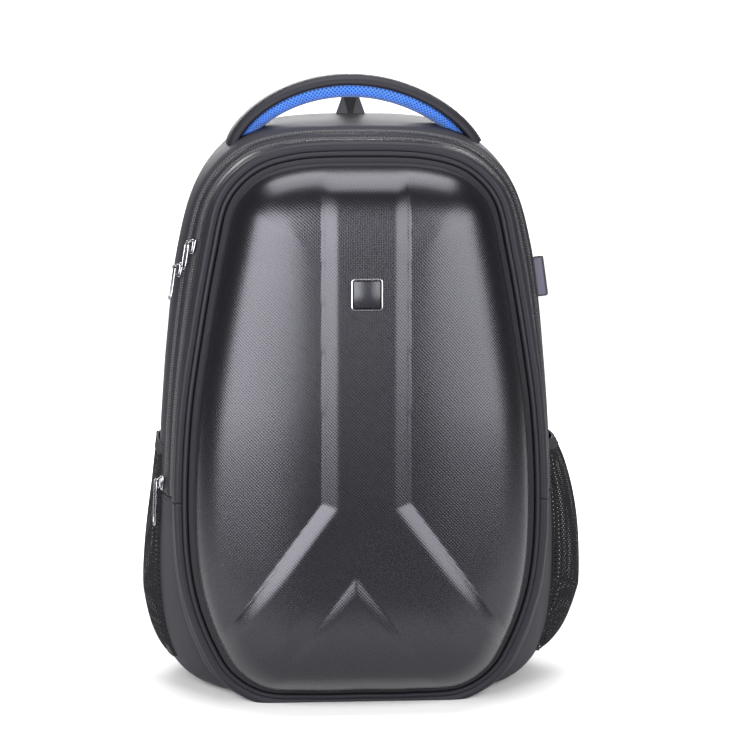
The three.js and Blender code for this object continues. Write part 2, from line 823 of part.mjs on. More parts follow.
// Frame on the skin: X runs back along the body, Y away from the skin, Z along the outline
function skinFrame(side, height, deep, out) {
  const u = turnAtHeight(height, deep, side);
  const back = skinPoint(u, deep + 1, out).sub(skinPoint(u, deep - 1, out)).normalize();
  const round = skinPoint(u + 0.005, deep, out).sub(skinPoint(u - 0.005, deep, out));
  const away = new THREE.Vector3().crossVectors(round, back).normalize();
  const along = new THREE.Vector3().crossVectors(back, away);
  return new THREE.Matrix4().makeBasis(back, away, along).setPosition(skinPoint(u, deep, out));
}

// Slider on a zip and the wire pull that hangs from it
function zipSlider(name, height, zipStart, pullLength) {
  const centre = zipStart + zipWidth / 2;
  const body = roundedOblong(new THREE.Shape(), sliderWidth, sliderLength, sliderRound);
  const slider = new THREE.ExtrudeGeometry(body, {
    depth: sliderThickness - 2 * sliderBevel,
    bevelEnabled: true,
    bevelThickness: sliderBevel,
    bevelSize: sliderBevel,
    bevelOffset: -sliderBevel,
    bevelSegments: 1,
    curveSegments: 2,
  });
  slider.rotateX(Math.PI / 2).translate(0, sliderThickness - sliderBevel, 0);
  const seat = skinFrame(-1, height, centre, zipProud + 2 * gap);
  add(`zip_slider_${name}`, slider.applyMatrix4(seat), steelFinish);

  const pull = wireLoop(pullWidth, pullLength, pullWire);
  pull.translate(0, sliderThickness + gap + pullWire / 2, 0);
  add(`zip_pull_${name}`, pull.applyMatrix4(seat), steelFinish);
}

// Long closed loop of wire in the XZ plane that hangs from the origin
function wireLoop(width, length, wire) {
  const steps = 12;
  const sides = 5;
  const straight = (length - width) / 2;
  const rings = [];
  for (let i = 0; i < steps; i += 1) {
    const angle = 2 * Math.PI * (i + 0.5) / steps;
    const out = new THREE.Vector3(Math.cos(angle), 0, Math.sin(angle));
    const centre = new THREE.Vector3(0, 0, Math.sign(out.z) * straight - straight);
    const ring = [];
    for (let j = 0; j < sides; j += 1) {
      const round = 2 * Math.PI * j / sides;
      const point = centre.clone().addScaledVector(out, width / 2 + wire / 2 * Math.cos(round));
      point.y = wire / 2 * Math.sin(round);
      ring.push(point);
    }
    rings.push(ring);
  }
  return loft(rings, true);
}

function badge() {
  const face = shellRise(0, badgeHeight) + gap;
  const place = (geometry, thickness) => geometry.translate(0, -face - thickness / 2, badgeHeight);
  const inside = badgeSize - 2 * badgeFrameWidth;
  const window = roundedOblong(new THREE.Path(), inside, inside, badgeFrameWidth / 2);
  const frame = plate(badgeSize, badgeSize, badgeThickness, badgeFrameWidth * 1.4, [window]);
  const plateThickness = badgeThickness * 0.6;
  const middle = plate(inside - 2 * gap, inside - 2 * gap, plateThickness, badgeFrameWidth / 2);
  add('badge_frame', place(frame, badgeThickness), steelFinish);
  add('badge_plate', place(middle, plateThickness), plateFinish);
}

function sideTab() {
  const face = roundedOblong(new THREE.Shape(), tabReach, tabHeight, tabRound);
  const settings = { depth: tabThickness, bevelEnabled: false, curveSegments: 2 };
  const tab = new THREE.ExtrudeGeometry(face, settings);
  const axes = [new THREE.Vector3(0, 1, 0), new THREE.Vector3(0, 0, 1), new THREE.Vector3(1, 0, 0)];
  tab.applyMatrix4(new THREE.Matrix4().makeBasis(...axes));
  const out = panelProud + gap + tabReach / 2;
  return tab.applyMatrix4(skinFrame(1, tabCentre, gussetStart + tabThickness, out));
}

add('front_shell', frontShell(), shellFinish);
add('shell_piping', shellPiping(), clothFinish);
add('front_band', frontBand(), clothFinish);
add('front_zip', aboveSeam(zipSection(bandStart)), zipFinish);
add('mid_band', aboveSeam(stripSection(frontZipEnd + gap, midBandWidth, panelProud)), clothFinish);
add('main_zip', aboveSeam(zipSection(midBandEnd + gap)), zipFinish);
add('body_gusset', aboveSeam(wallSection(gussetStart)), clothFinish);
add('base_panel', basePanel(), clothFinish);
add('back_panel', backPanel(), paddingFinish);
for (const [side, name] of [[-1, 'left'], [1, 'right']]) {
  const centre = [side * backPadSpacing / 2, backPadLift + backPadHeight / 2];
  add(`back_pad_${name}`, cushion(...centre, backPadWidth, backPadHeight, backPadThickness), paddingFinish);
  shoulderStrap(side, name);
}
const lumbarCentre = [0, lumbarLift + lumbarHeight / 2];
add('lumbar_pad', cushion(...lumbarCentre, lumbarWidth, lumbarHeight, backPadThickness), paddingFinish);
const block = skinBlock(gap);
add('handle_cover', handleCover(block), darkCloth);
add('handle_grip', handleGrip(block), gripFinish);
add('hang_loop', hangLoop(), darkCloth);
sidePocket({ side: -1, name: 'left', bulge: pocketBulgeLeft, fullness: pocketFullnessLeft });
sidePocket({ side: 1, name: 'right', bulge: pocketBulgeRight, fullness: pocketFullnessRight });
badge();
zipSlider('front', frontSliderHeight, bandStart, frontPullLength);
zipSlider('main', mainSliderHeight, midBandEnd + gap, mainPullLength);
zipSlider('low', lowSliderHeight, midBandEnd + gap, lowPullLength);
add('side_tab', sideTab(), plasticFinish);

// The origin is on the floor, under the middle of the bounding box
const bounds = new THREE.Box3().setFromObject(group);
const middle = bounds.getCenter(new THREE.Vector3());
group.position.set(-middle.x, -middle.y, -bounds.min.z);

export default group;
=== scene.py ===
"""Hard shell backpack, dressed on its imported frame. Metres, +Z up, front towards -Y."""
import math
from bisect import bisect_left
from types import SimpleNamespace

import bmesh
import bpy
from bpy.props import FloatProperty, FloatVectorProperty, PointerProperty
from mathutils import Matrix, Vector, noise
from mathutils.kdtree import KDTree


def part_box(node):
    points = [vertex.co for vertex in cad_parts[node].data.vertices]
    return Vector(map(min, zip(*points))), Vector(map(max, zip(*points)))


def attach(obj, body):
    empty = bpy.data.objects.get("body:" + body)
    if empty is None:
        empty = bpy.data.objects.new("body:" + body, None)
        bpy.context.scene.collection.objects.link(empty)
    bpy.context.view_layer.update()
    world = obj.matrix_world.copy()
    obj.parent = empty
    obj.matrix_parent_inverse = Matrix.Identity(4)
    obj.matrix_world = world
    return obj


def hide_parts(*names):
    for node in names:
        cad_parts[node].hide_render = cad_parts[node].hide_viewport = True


bl_info = {
    "name": "Hard Shell Backpack",
    "version": (1, 0, 0),
    "blender": (4, 5, 0),
    "location": "3D View > Sidebar > Backpack",
    "description": "Builds the shell, cloth, zips and fittings of a hard shell backpack",
    "category": "Add Mesh",
}

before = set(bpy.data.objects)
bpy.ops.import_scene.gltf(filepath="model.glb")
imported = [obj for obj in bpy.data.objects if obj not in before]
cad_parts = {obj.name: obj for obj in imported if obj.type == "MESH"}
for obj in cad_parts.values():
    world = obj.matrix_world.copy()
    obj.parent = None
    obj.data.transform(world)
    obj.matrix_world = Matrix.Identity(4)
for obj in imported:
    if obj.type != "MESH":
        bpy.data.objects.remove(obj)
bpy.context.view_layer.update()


# Sizes and colours

def length(name, description, default):
    return FloatProperty(name=name, description=description, default=default,
                         unit="LENGTH", subtype="DISTANCE", precision=4)


def share(name, description, default):
    return FloatProperty(name=name, description=description, default=default)


def colour(name, description, default):
    return FloatVectorProperty(name=name, description=description, default=default,
                               subtype="COLOR", min=0, max=1)


class BodySizes(bpy.types.PropertyGroup):
    rim_width: length("Rim width", "Width of the outline of the shell's rim", 0.284)
    rim_top: length("Rim top", "Height of the rim's highest point", 0.444)
    rim_bottom: length("Rim bottom", "Height of the rim's lowest point", 0.005)
    body_width: length("Body width", "Width of the body behind the rim", 0.330)
    body_height: length("Body height", "Height of the body behind the rim", 0.458)
    body_depth: length("Body depth", "Depth from the rim to the back", 0.150)
    top_rise: length("Top rise", "How far the top climbs towards the back", 0.014)
    flare_start: length("Flare start", "Depth where the sides start to flare", 0.006)
    flare_depth: length("Flare end", "Depth where the sides are fully flared", 0.095)
    flare_power: share("Flare power", "How early the sides flare", 2.1)
    proud: length("Panel proud", "How far the cloth panels stand off the skin", 0.0018)
    wall: length("Wall", "Thickness of the padded cloth walls", 0.003)
    gap: length("Gap", "Clearance between neighbours", 0.0003)
    back_round: length("Back round", "Radius of the body's back edge", 0.009)
    seam_height: length("Seam height", "Height where the zips end", 0.165)
    pipe_radius: length("Piping radius", "Radius of the bead round the shell", 0.0022)
    band_depth: length("Band depth", "Depth of the rolled band", 0.026)
    low_band_depth: length("Low band depth", "Depth of the rolled band below the seam", 0.013)
    band_roll: length("Band roll", "How far the rolled rim stands off the skin", 0.0092)
    zip_width: length("Zip width", "Width of a zip tape", 0.008)
    mid_band_width: length("Middle band", "Width of the strip between the zips", 0.0084)


class ShellSizes(bpy.types.PropertyGroup):
    wall: length("Shell wall", "Thickness of the moulded shell", 0.003)
    flange: length("Flange", "Flat edge that is sewn under the band", 0.004)
    dome: length("Dome height", "How far the shell stands in front of its rim", 0.050)
    dome_power: share("Dome power", "Fullness of the dome's shoulders", 2.4)
    side_roll: length("Side roll", "Width of the curved shoulder at the sides", 0.100)
    top_roll: length("Top roll", "Width of the curved shoulder at the top", 0.058)
    bottom_roll: length("Bottom roll", "Width of the curved shoulder at the foot", 0.080)
    stem_width: length("Stem width", "Width of the raised stem", 0.0675)
    knee_height: length("Knee height", "Height where the stem parts into two arms", 0.172)
    arm_slope: share("Arm slope", "How far an arm runs out for its fall", 0.735)
    arm_rise: length("Arm rise", "Height of the raised stem and arms", 0.0045)
    arm_flank: length("Arm flank", "Width of their soft shoulder", 0.012)
    triangle_height: length("Triangle height", "Height of the triangle's tip", 0.1135)
    triangle_slope: share("Triangle slope", "How far a leg runs out for its fall", 0.76)
    triangle_shift: length("Triangle shift", "How far the triangle stands off the middle", -0.0085)
    triangle_rise: length("Triangle rise", "Height of the raised triangle", 0.0015)
    triangle_flank: length("Triangle flank", "Width of its soft shoulder", 0.009)
    triangle_fade: length("Triangle fade", "Width over which the triangle rises from the edge", 0.02)
    fade: length("Relief fade", "Distance from the edge where the stem and arms die out", 0.024)
    lip: length("Lip", "How far the shell's lip runs back beyond its wall", 0.004)
    lip_turn: length("Lip turn", "How far the lip turns out behind the piping", 0.005)


class TrimSizes(bpy.types.PropertyGroup):
    tooth_pitch: length("Tooth pitch", "Distance between zip teeth", 0.0021)
    stitch_pitch: length("Stitch pitch", "Distance between stitches", 0.0036)
    stitch_length: length("Stitch length", "Length of a stitch", 0.0024)
    stitch_radius: length("Stitch radius", "Half the thickness of a stitch", 0.0003)
    handle_depth: length("Handle depth", "Depth of the handle behind the rim", 0.095)
    handle_spread: length("Handle spread", "Half the distance between the handle's feet", 0.097)
    handle_sink: length("Handle sink", "How far the feet lie below the body's top", 0.013)
    handle_rise: length("Handle rise", "Rise of the handle above the body", 0.038)
    handle_lean: length("Handle lean", "Sideways lean of the handle's crown", -0.004)
    cover: length("Cover thickness", "Thickness of the handle's cover", 0.009)
    cover_half: length("Cover half width", "Half the width of the handle's cover", 0.018)
    grip: length("Grip thickness", "Thickness of the grip", 0.010)
    grip_half: length("Grip half width", "Half the width of the grip", 0.015)
    strap_width: length("Strap width", "Width of a shoulder strap", 0.064)
    strap_thickness: length("Strap thickness", "Thickness of a shoulder strap", 0.012)
    strap_reach: length("Strap reach", "How far the straps stand behind the pads", 0.062)
    pad_thickness: length("Pad thickness", "Thickness of the back pads", 0.012)
    binding: length("Strap binding", "Radius of the bead round a strap", 0.0017)
    webbing_width: length("Webbing width", "Width of the webbing", 0.025)
    webbing_thickness: length("Webbing thickness", "Thickness of the webbing", 0.0018)
    pocket_top: length("Pocket top", "Height of the side pockets' hems", 0.205)
    pocket_bottom: length("Pocket bottom", "Height of the side pockets' feet", 0.027)
    pocket_belly: length("Pocket belly", "Height where the pockets bulge most", 0.078)
    pocket_depth: length("Pocket depth", "Depth of a side pocket, front to back", 0.076)
    bulge_left: length("Left bulge", "How far the left pocket bulges", 0.010)
    bulge_right: length("Right bulge", "How far the right pocket bulges", 0.023)
    fullness_left: share("Left fullness", "How far up the left pocket stays full", 1.6)
    fullness_right: share("Right fullness", "How far up the right pocket stays full", 3.5)
    net: length("Net thickness", "Thickness of the pocket nets", 0.0014)
    hem: length("Hem height", "Height of the pockets' elastic hems", 0.009)
    hem_thickness: length("Hem thickness", "Thickness of the hems", 0.0024)


class PadSizes(bpy.types.PropertyGroup):
    core: length("Foam core", "Thickness of the foam before it swells", 0.0085)
    corner: length("Foam corner", "Radius of the pads' corners", 0.018)
    width: length("Pad width", "Width of a back pad", 0.098)
    tall: length("Pad length", "Height of a back pad, foot to top", 0.270)
    height: length("Pad place", "Height of the back pads' middle", 0.265)
    spread: length("Pad spread", "How far a back pad stands off the middle", 0.061)
    lumbar_width: length("Lumbar width", "Width of the lumbar pad", 0.172)
    lumbar_tall: length("Lumbar length", "Height of the lumbar pad, foot to top", 0.088)
    lumbar_height: length("Lumbar place", "Height of the lumbar pad's middle", 0.074)
    channel_depth: length("Channel depth", "Depth of the sewn channels", 0.0035)
    channel_half: length("Channel width", "Half the width of a sewn channel", 0.006)


class FittingSizes(bpy.types.PropertyGroup):
    buckle_width: length("Buckle width", "Width of a ladder buckle", 0.034)
    buckle_tall: length("Buckle length", "Length of a ladder buckle along its webbing", 0.026)
    buckle_thickness: length("Buckle thickness", "Thickness of a ladder buckle", 0.0036)
    slider_width: length("Slider width", "Width of a zip slider", 0.0088)
    slider_tall: length("Slider length", "Length of a zip slider", 0.0118)
    slider_plate: length("Slider plate", "Thickness of a slider's plate", 0.0013)
    pull_width: length("Pull width", "Width of a wire pull", 0.0065)
    pull_wire: length("Pull wire", "Thickness of a pull's wire", 0.0015)
    front_height: length("Front slider", "Height of the front zip's slider", 0.368)
    main_height: length("Main slider", "Height of the main zip's upper slider", 0.348)
    low_height: length("Low slider", "Height of the main zip's lower slider", 0.174)
    front_pull: length("Front pull", "Length of the front zip's pull", 0.022)
    main_pull: length("Main pull", "Length of the main zip's upper pull", 0.028)
    low_pull: length("Low pull", "Length of the main zip's lower pull", 0.038)
    tab_reach: length("Tab reach", "How far the side tab stands off the body", 0.009)
    tab_tall: length("Tab length", "Height of the side tab, foot to top", 0.033)
    tab_thickness: length("Tab thickness", "Thickness of the side tab", 0.003)
    tab_height: length("Tab place", "Height of the side tab's middle", 0.340)
    badge_corner: length("Badge corner", "Radius of the badge's corners", 0.0026)
    badge_rim: length("Badge rim", "Width of the badge's bright frame", 0.0019)


class Finishes(bpy.types.PropertyGroup):
    shell: colour("Shell", "Moulded shell", (0.0035, 0.0034, 0.0046))
    band: colour("Band", "Coated cloth of the bands", (0.0084, 0.0080, 0.0105))
    body: colour("Body", "Coated cloth of the body", (0.0130, 0.0125, 0.0160))
    zip: colour("Zip", "Zip tape and teeth", (0.010, 0.010, 0.011))
    padding: colour("Padding", "Spacer mesh of the back", (0.014, 0.014, 0.016))
    webbing: colour("Webbing", "Woven webbing", (0.016, 0.016, 0.018))
    grip: colour("Grip", "Knitted mesh of the grip", (0.030, 0.115, 0.44))
    steel: colour("Steel", "Plated metal", (0.30, 0.305, 0.32))
    net: colour("Net", "Net of the side pockets", (0.008, 0.008, 0.009))
    tab: colour("Tab", "Face of the side tab", (0.105, 0.098, 0.135))
    tab_edge: colour("Tab edge", "Bound edge of the side tab", (0.016, 0.016, 0.018))
    plastic: colour("Plastic", "Ladder buckles", (0.012, 0.012, 0.014))
    plate_low: colour("Plate, dark", "Dark streaks of the badge's plate", (0.012, 0.012, 0.016))
    plate_high: colour("Plate, light", "Light streaks of the badge's plate", (0.035, 0.035, 0.042))
    paper: colour("Paper", "Studio floor and backdrop", (0.68, 0.68, 0.685))


def values(group):
    """The group's sizes as plain numbers."""
    return SimpleNamespace(**{key: getattr(group, key) for key in type(group).__annotations__})


# Curves and the skin

# Right half of the outlines from top centre to bottom centre, as
# (rim reach, rim rise, body reach, body rise): reach is a share of half the width, rise of the height
OUTLINE_ROWS = (
    (0, 1, 0, 1),
    (0.366, 0.995, 0.376, 0.9935),
    (0.563, 0.977, 0.576, 0.974),
    (0.683, 0.948, 0.703, 0.941),
    (0.761, 0.911, 0.8, 0.891),
    (0.827, 0.822, 0.875, 0.795),
    (0.908, 0.677, 0.925, 0.666),
    (0.975, 0.524, 0.961, 0.515),
    (1, 0.364, 0.984, 0.36),
    (0.986, 0.253, 1, 0.247),
    (0.944, 0.178, 1, 0.17),
    (0.859, 0.1025, 0.975, 0.096),
    (0.754, 0.0456, 0.915, 0.0437),
    (0.577, 0.008, 0.81, 0.0109),
    (0.282, 0, 0.58, 0),
    (0, 0, 0, 0),
)


def clamp(value, low=0.0, high=1.0):
    return max(low, min(high, value))


def smoothstep(value, low, high):
    part = clamp((value - low) / (high - low))
    return part * part * (3 - 2 * part)


def mix(a, b, part):
    return a + (b - a) * part


def smooth_path(points, closed=False):
    """Centripetal curve through points, as a function of a share from 0 to 1."""
    count = len(points)

    def knot(i):
        if closed:
            return points[i % count]
        if i < 0:
            return points[0] * 2 - points[1]
        if i >= count:
            return points[-1] * 2 - points[-2]
        return points[i]

    def at(part):
        place = (part % 1 if closed else clamp(part)) * (count if closed else count - 1)
        i = int(place)
        if not closed and i >= count - 1:
            i = count - 2
        w = place - i
        a, b, c, d = knot(i - 1), knot(i), knot(i + 1), knot(i + 2)
        ab, bc, cd = (max(1e-4, (q - p).length) ** 0.5 for p, q in ((a, b), (b, c), (c, d)))
        start = ((b - a) / ab - (c - a) / (ab + bc) + (c - b) / bc) * bc
        end = ((c - b) / bc - (d - b) / (bc + cd) + (d - c) / cd) * bc
        return (b + start * w + (b * -3 + c * 3 - start * 2 - end) * w ** 2
                + (b * 2 - c * 2 + start + end) * w ** 3)

    return at


def smooth_section(points, steps=4):
    """Closed section of (deep, out) pairs, rounded between its points."""
    path = smooth_path([Vector((deep, out, 0)) for deep, out in points], True)
    count = len(points) * steps
    return [tuple(path(i / count)[:2]) for i in range(count)]


def running(points):
    """Distance run at each of a row of points."""
    runs = [0.0]
    for a, b in zip(points, points[1:]):
        runs.append(runs[-1] + (b - a).length)
    return runs


def axes(x, y, z):
    """Rotation that turns the axes to these directions."""
    return Matrix((x, y, z)).transposed().to_4x4()


class Outline:
    """Mirrored closed outline in the XZ plane, with its outward direction."""
    STEPS = 2400

    def __init__(self, right):
        knots = [Vector((x, 0, z)) for x, z in right]
        knots += [Vector((-p.x, 0, p.z)) for p in reversed(knots[1:-1])]
        path = smooth_path(knots, True)
        self.points = [path(i / self.STEPS) for i in range(self.STEPS)]
        self.outs = []
        for i in range(self.STEPS):
            run = self.points[(i + 1) % self.STEPS] - self.points[i - 1]
            self.outs.append(Vector((-run.z, 0, run.x)).normalized())

    def at(self, turn):
        place = (turn % 1) * self.STEPS
        i = int(place)
        j = (i + 1) % self.STEPS
        i %= self.STEPS
        part = place - int(place)
        return self.points[i].lerp(self.points[j], part), self.outs[i].lerp(self.outs[j], part)


class Skin:
    """Outer surface of the body: turn runs round the outline from the top centre, deep is the
    distance behind the rim and out the distance outside the skin."""

    def __init__(self, scene):
        self.size = size = values(scene.backpack_body)
        low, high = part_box("shell_piping")
        self.x, self.y = (low.x + high.x) / 2, (low.y + high.y) / 2
        tall = size.rim_top - size.rim_bottom
        self.rim = Outline([(reach * size.rim_width / 2, size.rim_bottom + rise * tall)
                            for reach, rise, _, _ in OUTLINE_ROWS])
        self.body = Outline([(reach * size.body_width / 2, rise * size.body_height)
                             for _, _, reach, rise in OUTLINE_ROWS])
        steps = 1200
        self.runs = running([self.point(i / steps, size.band_depth) for i in range(steps + 1)])
        self.girth = self.runs[-1]
        self.band_start = size.band_depth + size.gap
        self.front_zip_end = self.band_start + size.zip_width
        self.mid_band_end = self.front_zip_end + size.gap + size.mid_band_width
        self.main_zip_end = self.mid_band_end + size.gap + size.zip_width
        self.gusset_start = self.main_zip_end + size.gap

    def point(self, turn, deep, out=0.0):
        size = self.size
        flared = clamp((deep - size.flare_start) / (size.flare_depth - size.flare_start))
        grown = 1 - (1 - flared) ** size.flare_power
        rim, rim_out = self.rim.at(turn)
        body, body_out = self.body.at(turn)
        away = rim_out.lerp(body_out, grown).normalized()
        place = rim.lerp(body, grown) + away * out
        rise = size.top_rise * max(0.0, deep / size.body_depth) * max(0.0, away.z) ** 2
        return Vector((self.x + place.x, self.y + deep, max(0.0, place.z + rise)))

    def turn(self, part):
        """Turn after a share of the way round the outline."""
        run = (part % 1) * self.girth
        i = max(1, min(bisect_left(self.runs, run), len(self.runs) - 1))
        within = (run - self.runs[i - 1]) / (self.runs[i] - self.runs[i - 1])
        return (i - 1 + within) / (len(self.runs) - 1)

    def part(self, turn):
        """Share of the way round the outline at a turn."""
        place = (turn % 1) * (len(self.runs) - 1)
        i = min(int(place), len(self.runs) - 2)
        return mix(self.runs[i], self.runs[i + 1], place - i) / self.girth

    def turn_at(self, height, deep, side=1):
        high, low = 0.05, 0.45
        for _ in range(30):
            middle = (high + low) / 2
            if self.point(middle, deep).z > height:
                high = middle
            else:
                low = middle
        return high if side > 0 else 1 - high

    def seat(self, side, height, deep, out):
        """Frame on the skin: X runs back along the body, Y away from it, Z along the outline."""
        turn = self.turn_at(height, deep, side)
        back = (self.point(turn, deep + 1e-3, out) - self.point(turn, deep - 1e-3, out)).normalized()
        around = self.point(turn + 0.005, deep, out) - self.point(turn - 0.005, deep, out)
        away = around.cross(back).normalized()
        return Matrix.Translation(self.point(turn, deep, out)) @ axes(back, away, back.cross(away))


# Mesh helpers

def grid(columns, rows, place, lay=lambda u, v: (u, v)):
    """A grid moved to place(u, v); its UV map holds lay(u, v), in metres."""
    bm = bmesh.new()
    uv = bm.loops.layers.uv.new("Cloth")
    bmesh.ops.create_grid(bm, x_segments=columns, y_segments=rows, size=0.5)
    flat = {vert: (vert.co.x + 0.5, vert.co.y + 0.5) for vert in bm.verts}
    for face in bm.faces:
        for loop in face.loops:
            loop[uv].uv = lay(*flat[loop.vert])
    for vert, (u, v) in flat.items():
        vert.co = place(u, v)
    bmesh.ops.remove_doubles(bm, verts=bm.verts, dist=2e-6)
    return bm


def closed(bm):
    """Fills open ends and turns all faces outwards."""
    ends = [edge for edge in bm.edges if edge.is_boundary]
    if ends:
        bmesh.ops.holes_fill(bm, edges=ends, sides=0)
    bmesh.ops.recalc_face_normals(bm, faces=bm.faces)
    return bm


def facing(bm, centre):
    """Turns an open sheet so that it looks away from centre."""
    bm.normal_update()
    total = sum((face.calc_center_median() - centre).dot(face.normal) * face.calc_area() for face in bm.faces)
    if total < 0:
        bmesh.ops.reverse_faces(bm, faces=bm.faces)
    return bm


def join(bm, other):
    """Adds another piece's mesh to bm."""
    mesh = bpy.data.meshes.new("joined")
    other.to_mesh(mesh)
    other.free()
    bm.from_mesh(mesh)
    bpy.data.meshes.remove(mesh)
    return bm


def add_piece(name, bm, materials, nodes, sharp=None):
    """The finished piece, in place of the named nodes. Edges bent by more than sharp degrees stay sharp."""
    mesh = bpy.data.meshes.new(name)
    bm.to_mesh(mesh)
    bm.free()
    for material in materials:
        mesh.materials.append(material)
    mesh.shade_smooth()
    if sharp:
        mesh.set_sharp_from_angle(angle=math.radians(sharp))
    piece = bpy.data.objects.new(name, mesh)
    bpy.context.scene.collection.objects.link(piece)
    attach(piece, "root")
    if nodes:
        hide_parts(*nodes)
    return piece


def corner(section, part):
    """Corner of a closed section, a share of the way round it."""
    return section[round(part * len(section)) % len(section)]


def section_girth(section):
    """Distance run round a closed section at each of its corners."""
    runs = [0.0]
    for a, b in zip(section, section[1:] + section[:1]):
        runs.append(runs[-1] + math.dist(a, b))
    return runs


def ring(skin, section, steps, span="whole", ripple=None):
    """Closed band swept round the skin from a closed section of (deep, out) pairs. Span is whole,
    above or below the seam."""
    count = len(section)
    runs = section_girth(section)
    size = skin.size
    lift = size.gap if span == "above" else 0.0
    ends = [skin.part(skin.turn_at(size.seam_height + lift, deep)) for deep, _ in section]

    def along(u, end):
        if span == "above":
            return u * 2 * end - end
        if span == "below":
            return end + u * (1 - 2 * end)
        return u

    def place(u, v):
        i = round(v * count) % count
        deep, out = section[i]
        part = along(u, ends[i])
        if ripple:
            out += ripple(part, deep, out)
        return skin.point(skin.turn(part), deep, out)

    def lay(u, v):
        return along(u, ends[0]) * skin.girth, runs[round(v * count)]

    return closed(grid(steps, count, place, lay))


def tube(path, radius, steps, sides, looped=False):
    """Round tube along a path, as a closed mesh."""
    def frame_at(part):
        ahead = path(min(1.0, part + 1e-3) if not looped else part + 1e-3)
        behind = path(max(0.0, part - 1e-3) if not looped else part - 1e-3)
        run = (ahead - behind).normalized()
        side = run.cross(Vector((0.13, 0.21, 0.97))).normalized()
        return side, run.cross(side).normalized()

    def place(u, v):
        side, up = frame_at(u)
        angle = 2 * math.pi * v
        return path(u) + (side * math.cos(angle) + up * math.sin(angle)) * radius

    return closed(grid(steps, sides, place))


def stitches(bm, places, size, radius):
    """Small rounded stitches in the second material; places holds (point, run, away) for each."""
    for point, run, away in places:
        side = run.cross(away).normalized()
        turn = axes(run.normalized(), side, side.cross(run).normalized())
        stretch = Matrix.Diagonal((size / 2, radius, radius, 1))
        made = bmesh.ops.create_icosphere(bm, subdivisions=1, radius=1.0,
                                          matrix=Matrix.Translation(point) @ turn @ stretch)
        for vert in made["verts"]:
            for face in vert.link_faces:
                face.material_index = 1
    return bm


def stitch_line(path, pitch, away):
    """Evenly spaced stitch places along a path, on the side that away gives for a share."""
    steps = 400
    points = [path(i / steps) for i in range(steps + 1)]
    runs = running(points)
    count = max(2, round(runs[-1] / pitch))
    places = []
    for n in range(count):
        run = (n + 0.5) * runs[-1] / count
        i = max(1, min(bisect_left(runs, run), steps))
        part = (i - 1 + (run - runs[i - 1]) / max(1e-9, runs[i] - runs[i - 1])) / steps
        places.append((path(part), points[i] - points[i - 1], away(part)))
    return places


def sew(bm, path, away):
    """Row of stitches along a path."""
    trim = bpy.context.scene.backpack_trim
    stitches(bm, stitch_line(path, trim.stitch_pitch, away), trim.stitch_length, trim.stitch_radius)


def rounded_box(size, radius, segments, middle=(0, 0, 0), along=None):
    """Box with rounded edges, all of them or only those along one axis."""
    bm = bmesh.new()
    bmesh.ops.create_cube(bm, size=1.0, matrix=Matrix.Diagonal((*size, 1)))
    edges = list(bm.edges)
    if along:
        axis = "XYZ".index(along)
        edges = [edge for edge in edges if abs(edge.verts[0].co[axis] - edge.verts[1].co[axis]) > 1e-6]
    bmesh.ops.bevel(bm, geom=edges, offset=radius, segments=segments, profile=0.5,
                    affect="EDGES", material=-1)
    bmesh.ops.translate(bm, verts=bm.verts, vec=middle)
    return bm


def settle(pieces, pressure, cap):
    """Swells padded pieces by a short cloth simulation and keeps each point within its cap."""
    scene = bpy.context.scene
    rests = {}
    for piece in pieces:
        rests[piece] = [vert.co.copy() for vert in piece.data.vertices]
        cloth = piece.modifiers.new("Swell", "CLOTH")
        cloth.settings.quality = 5
        cloth.settings.mass = 0.15
        cloth.settings.tension_stiffness = 25
        cloth.settings.compression_stiffness = 25
        cloth.settings.shear_stiffness = 10
        cloth.settings.bending_stiffness = 1.5
        cloth.settings.use_pressure = True
        cloth.settings.uniform_pressure_force = pressure
        cloth.settings.effector_weights.gravity = 0
        cloth.point_cache.frame_start = 1
        cloth.point_cache.frame_end = 20
    for step in range(1, 21):
        scene.frame_set(step)
    graph = bpy.context.evaluated_depsgraph_get()
    for piece, rest in rests.items():
        swollen = piece.evaluated_get(graph).data
        places = [vert.co.copy() for vert in swollen.vertices]
        piece.modifiers.clear()
        for vert, start, place in zip(piece.data.vertices, rest, places):
            move = place - start
            vert.co = start + move * min(1.0, cap / max(move.length, 1e-9))
    scene.frame_set(1)


def remesh(piece, voxel):
    """Even quads all over a closed piece."""
    modifier = piece.modifiers.new("Even", "REMESH")
    modifier.mode = "VOXEL"
    modifier.voxel_size = voxel
    graph = bpy.context.evaluated_depsgraph_get()
    mesh = bpy.data.meshes.new_from_object(piece.evaluated_get(graph))
    mesh.name = piece.data.name + "_even"
    piece.modifiers.clear()
    piece.data = mesh
    mesh.shade_smooth()


# Shader helpers

class Signal:
    """A node's output that is used like a number."""

    def __init__(self, paint, socket):
        self.paint = paint
        self.socket = socket

    def math(self, operation, *inputs):
        return self.paint.make("ShaderNodeMath", {"operation": operation}, dict(enumerate(inputs)))

    def __add__(self, other):
        return self.math("ADD", self, other)

    __radd__ = __add__

    def __sub__(self, other):
        return self.math("SUBTRACT", self, other)

    def __rsub__(self, other):
        return self.math("SUBTRACT", other, self)

    def __mul__(self, other):
        return self.math("MULTIPLY", self, other)

    __rmul__ = __mul__

    def sin(self):
        return self.math("SINE", self)

    def size(self):
        return self.math("ABSOLUTE", self)

    def most(self, other):
        return self.math("MAXIMUM", self, other)

    def least(self, other):
        return self.math("MINIMUM", self, other)

    def step(self, low, high):
        """0 below low, 1 above high, smooth between."""
        return self.paint.make("ShaderNodeMapRange", {"interpolation_type": "SMOOTHSTEP"},
                               {"Value": self, "From Min": low, "From Max": high})


def opaque(color):
    return (*color, 1.0) if isinstance(color, tuple) else color


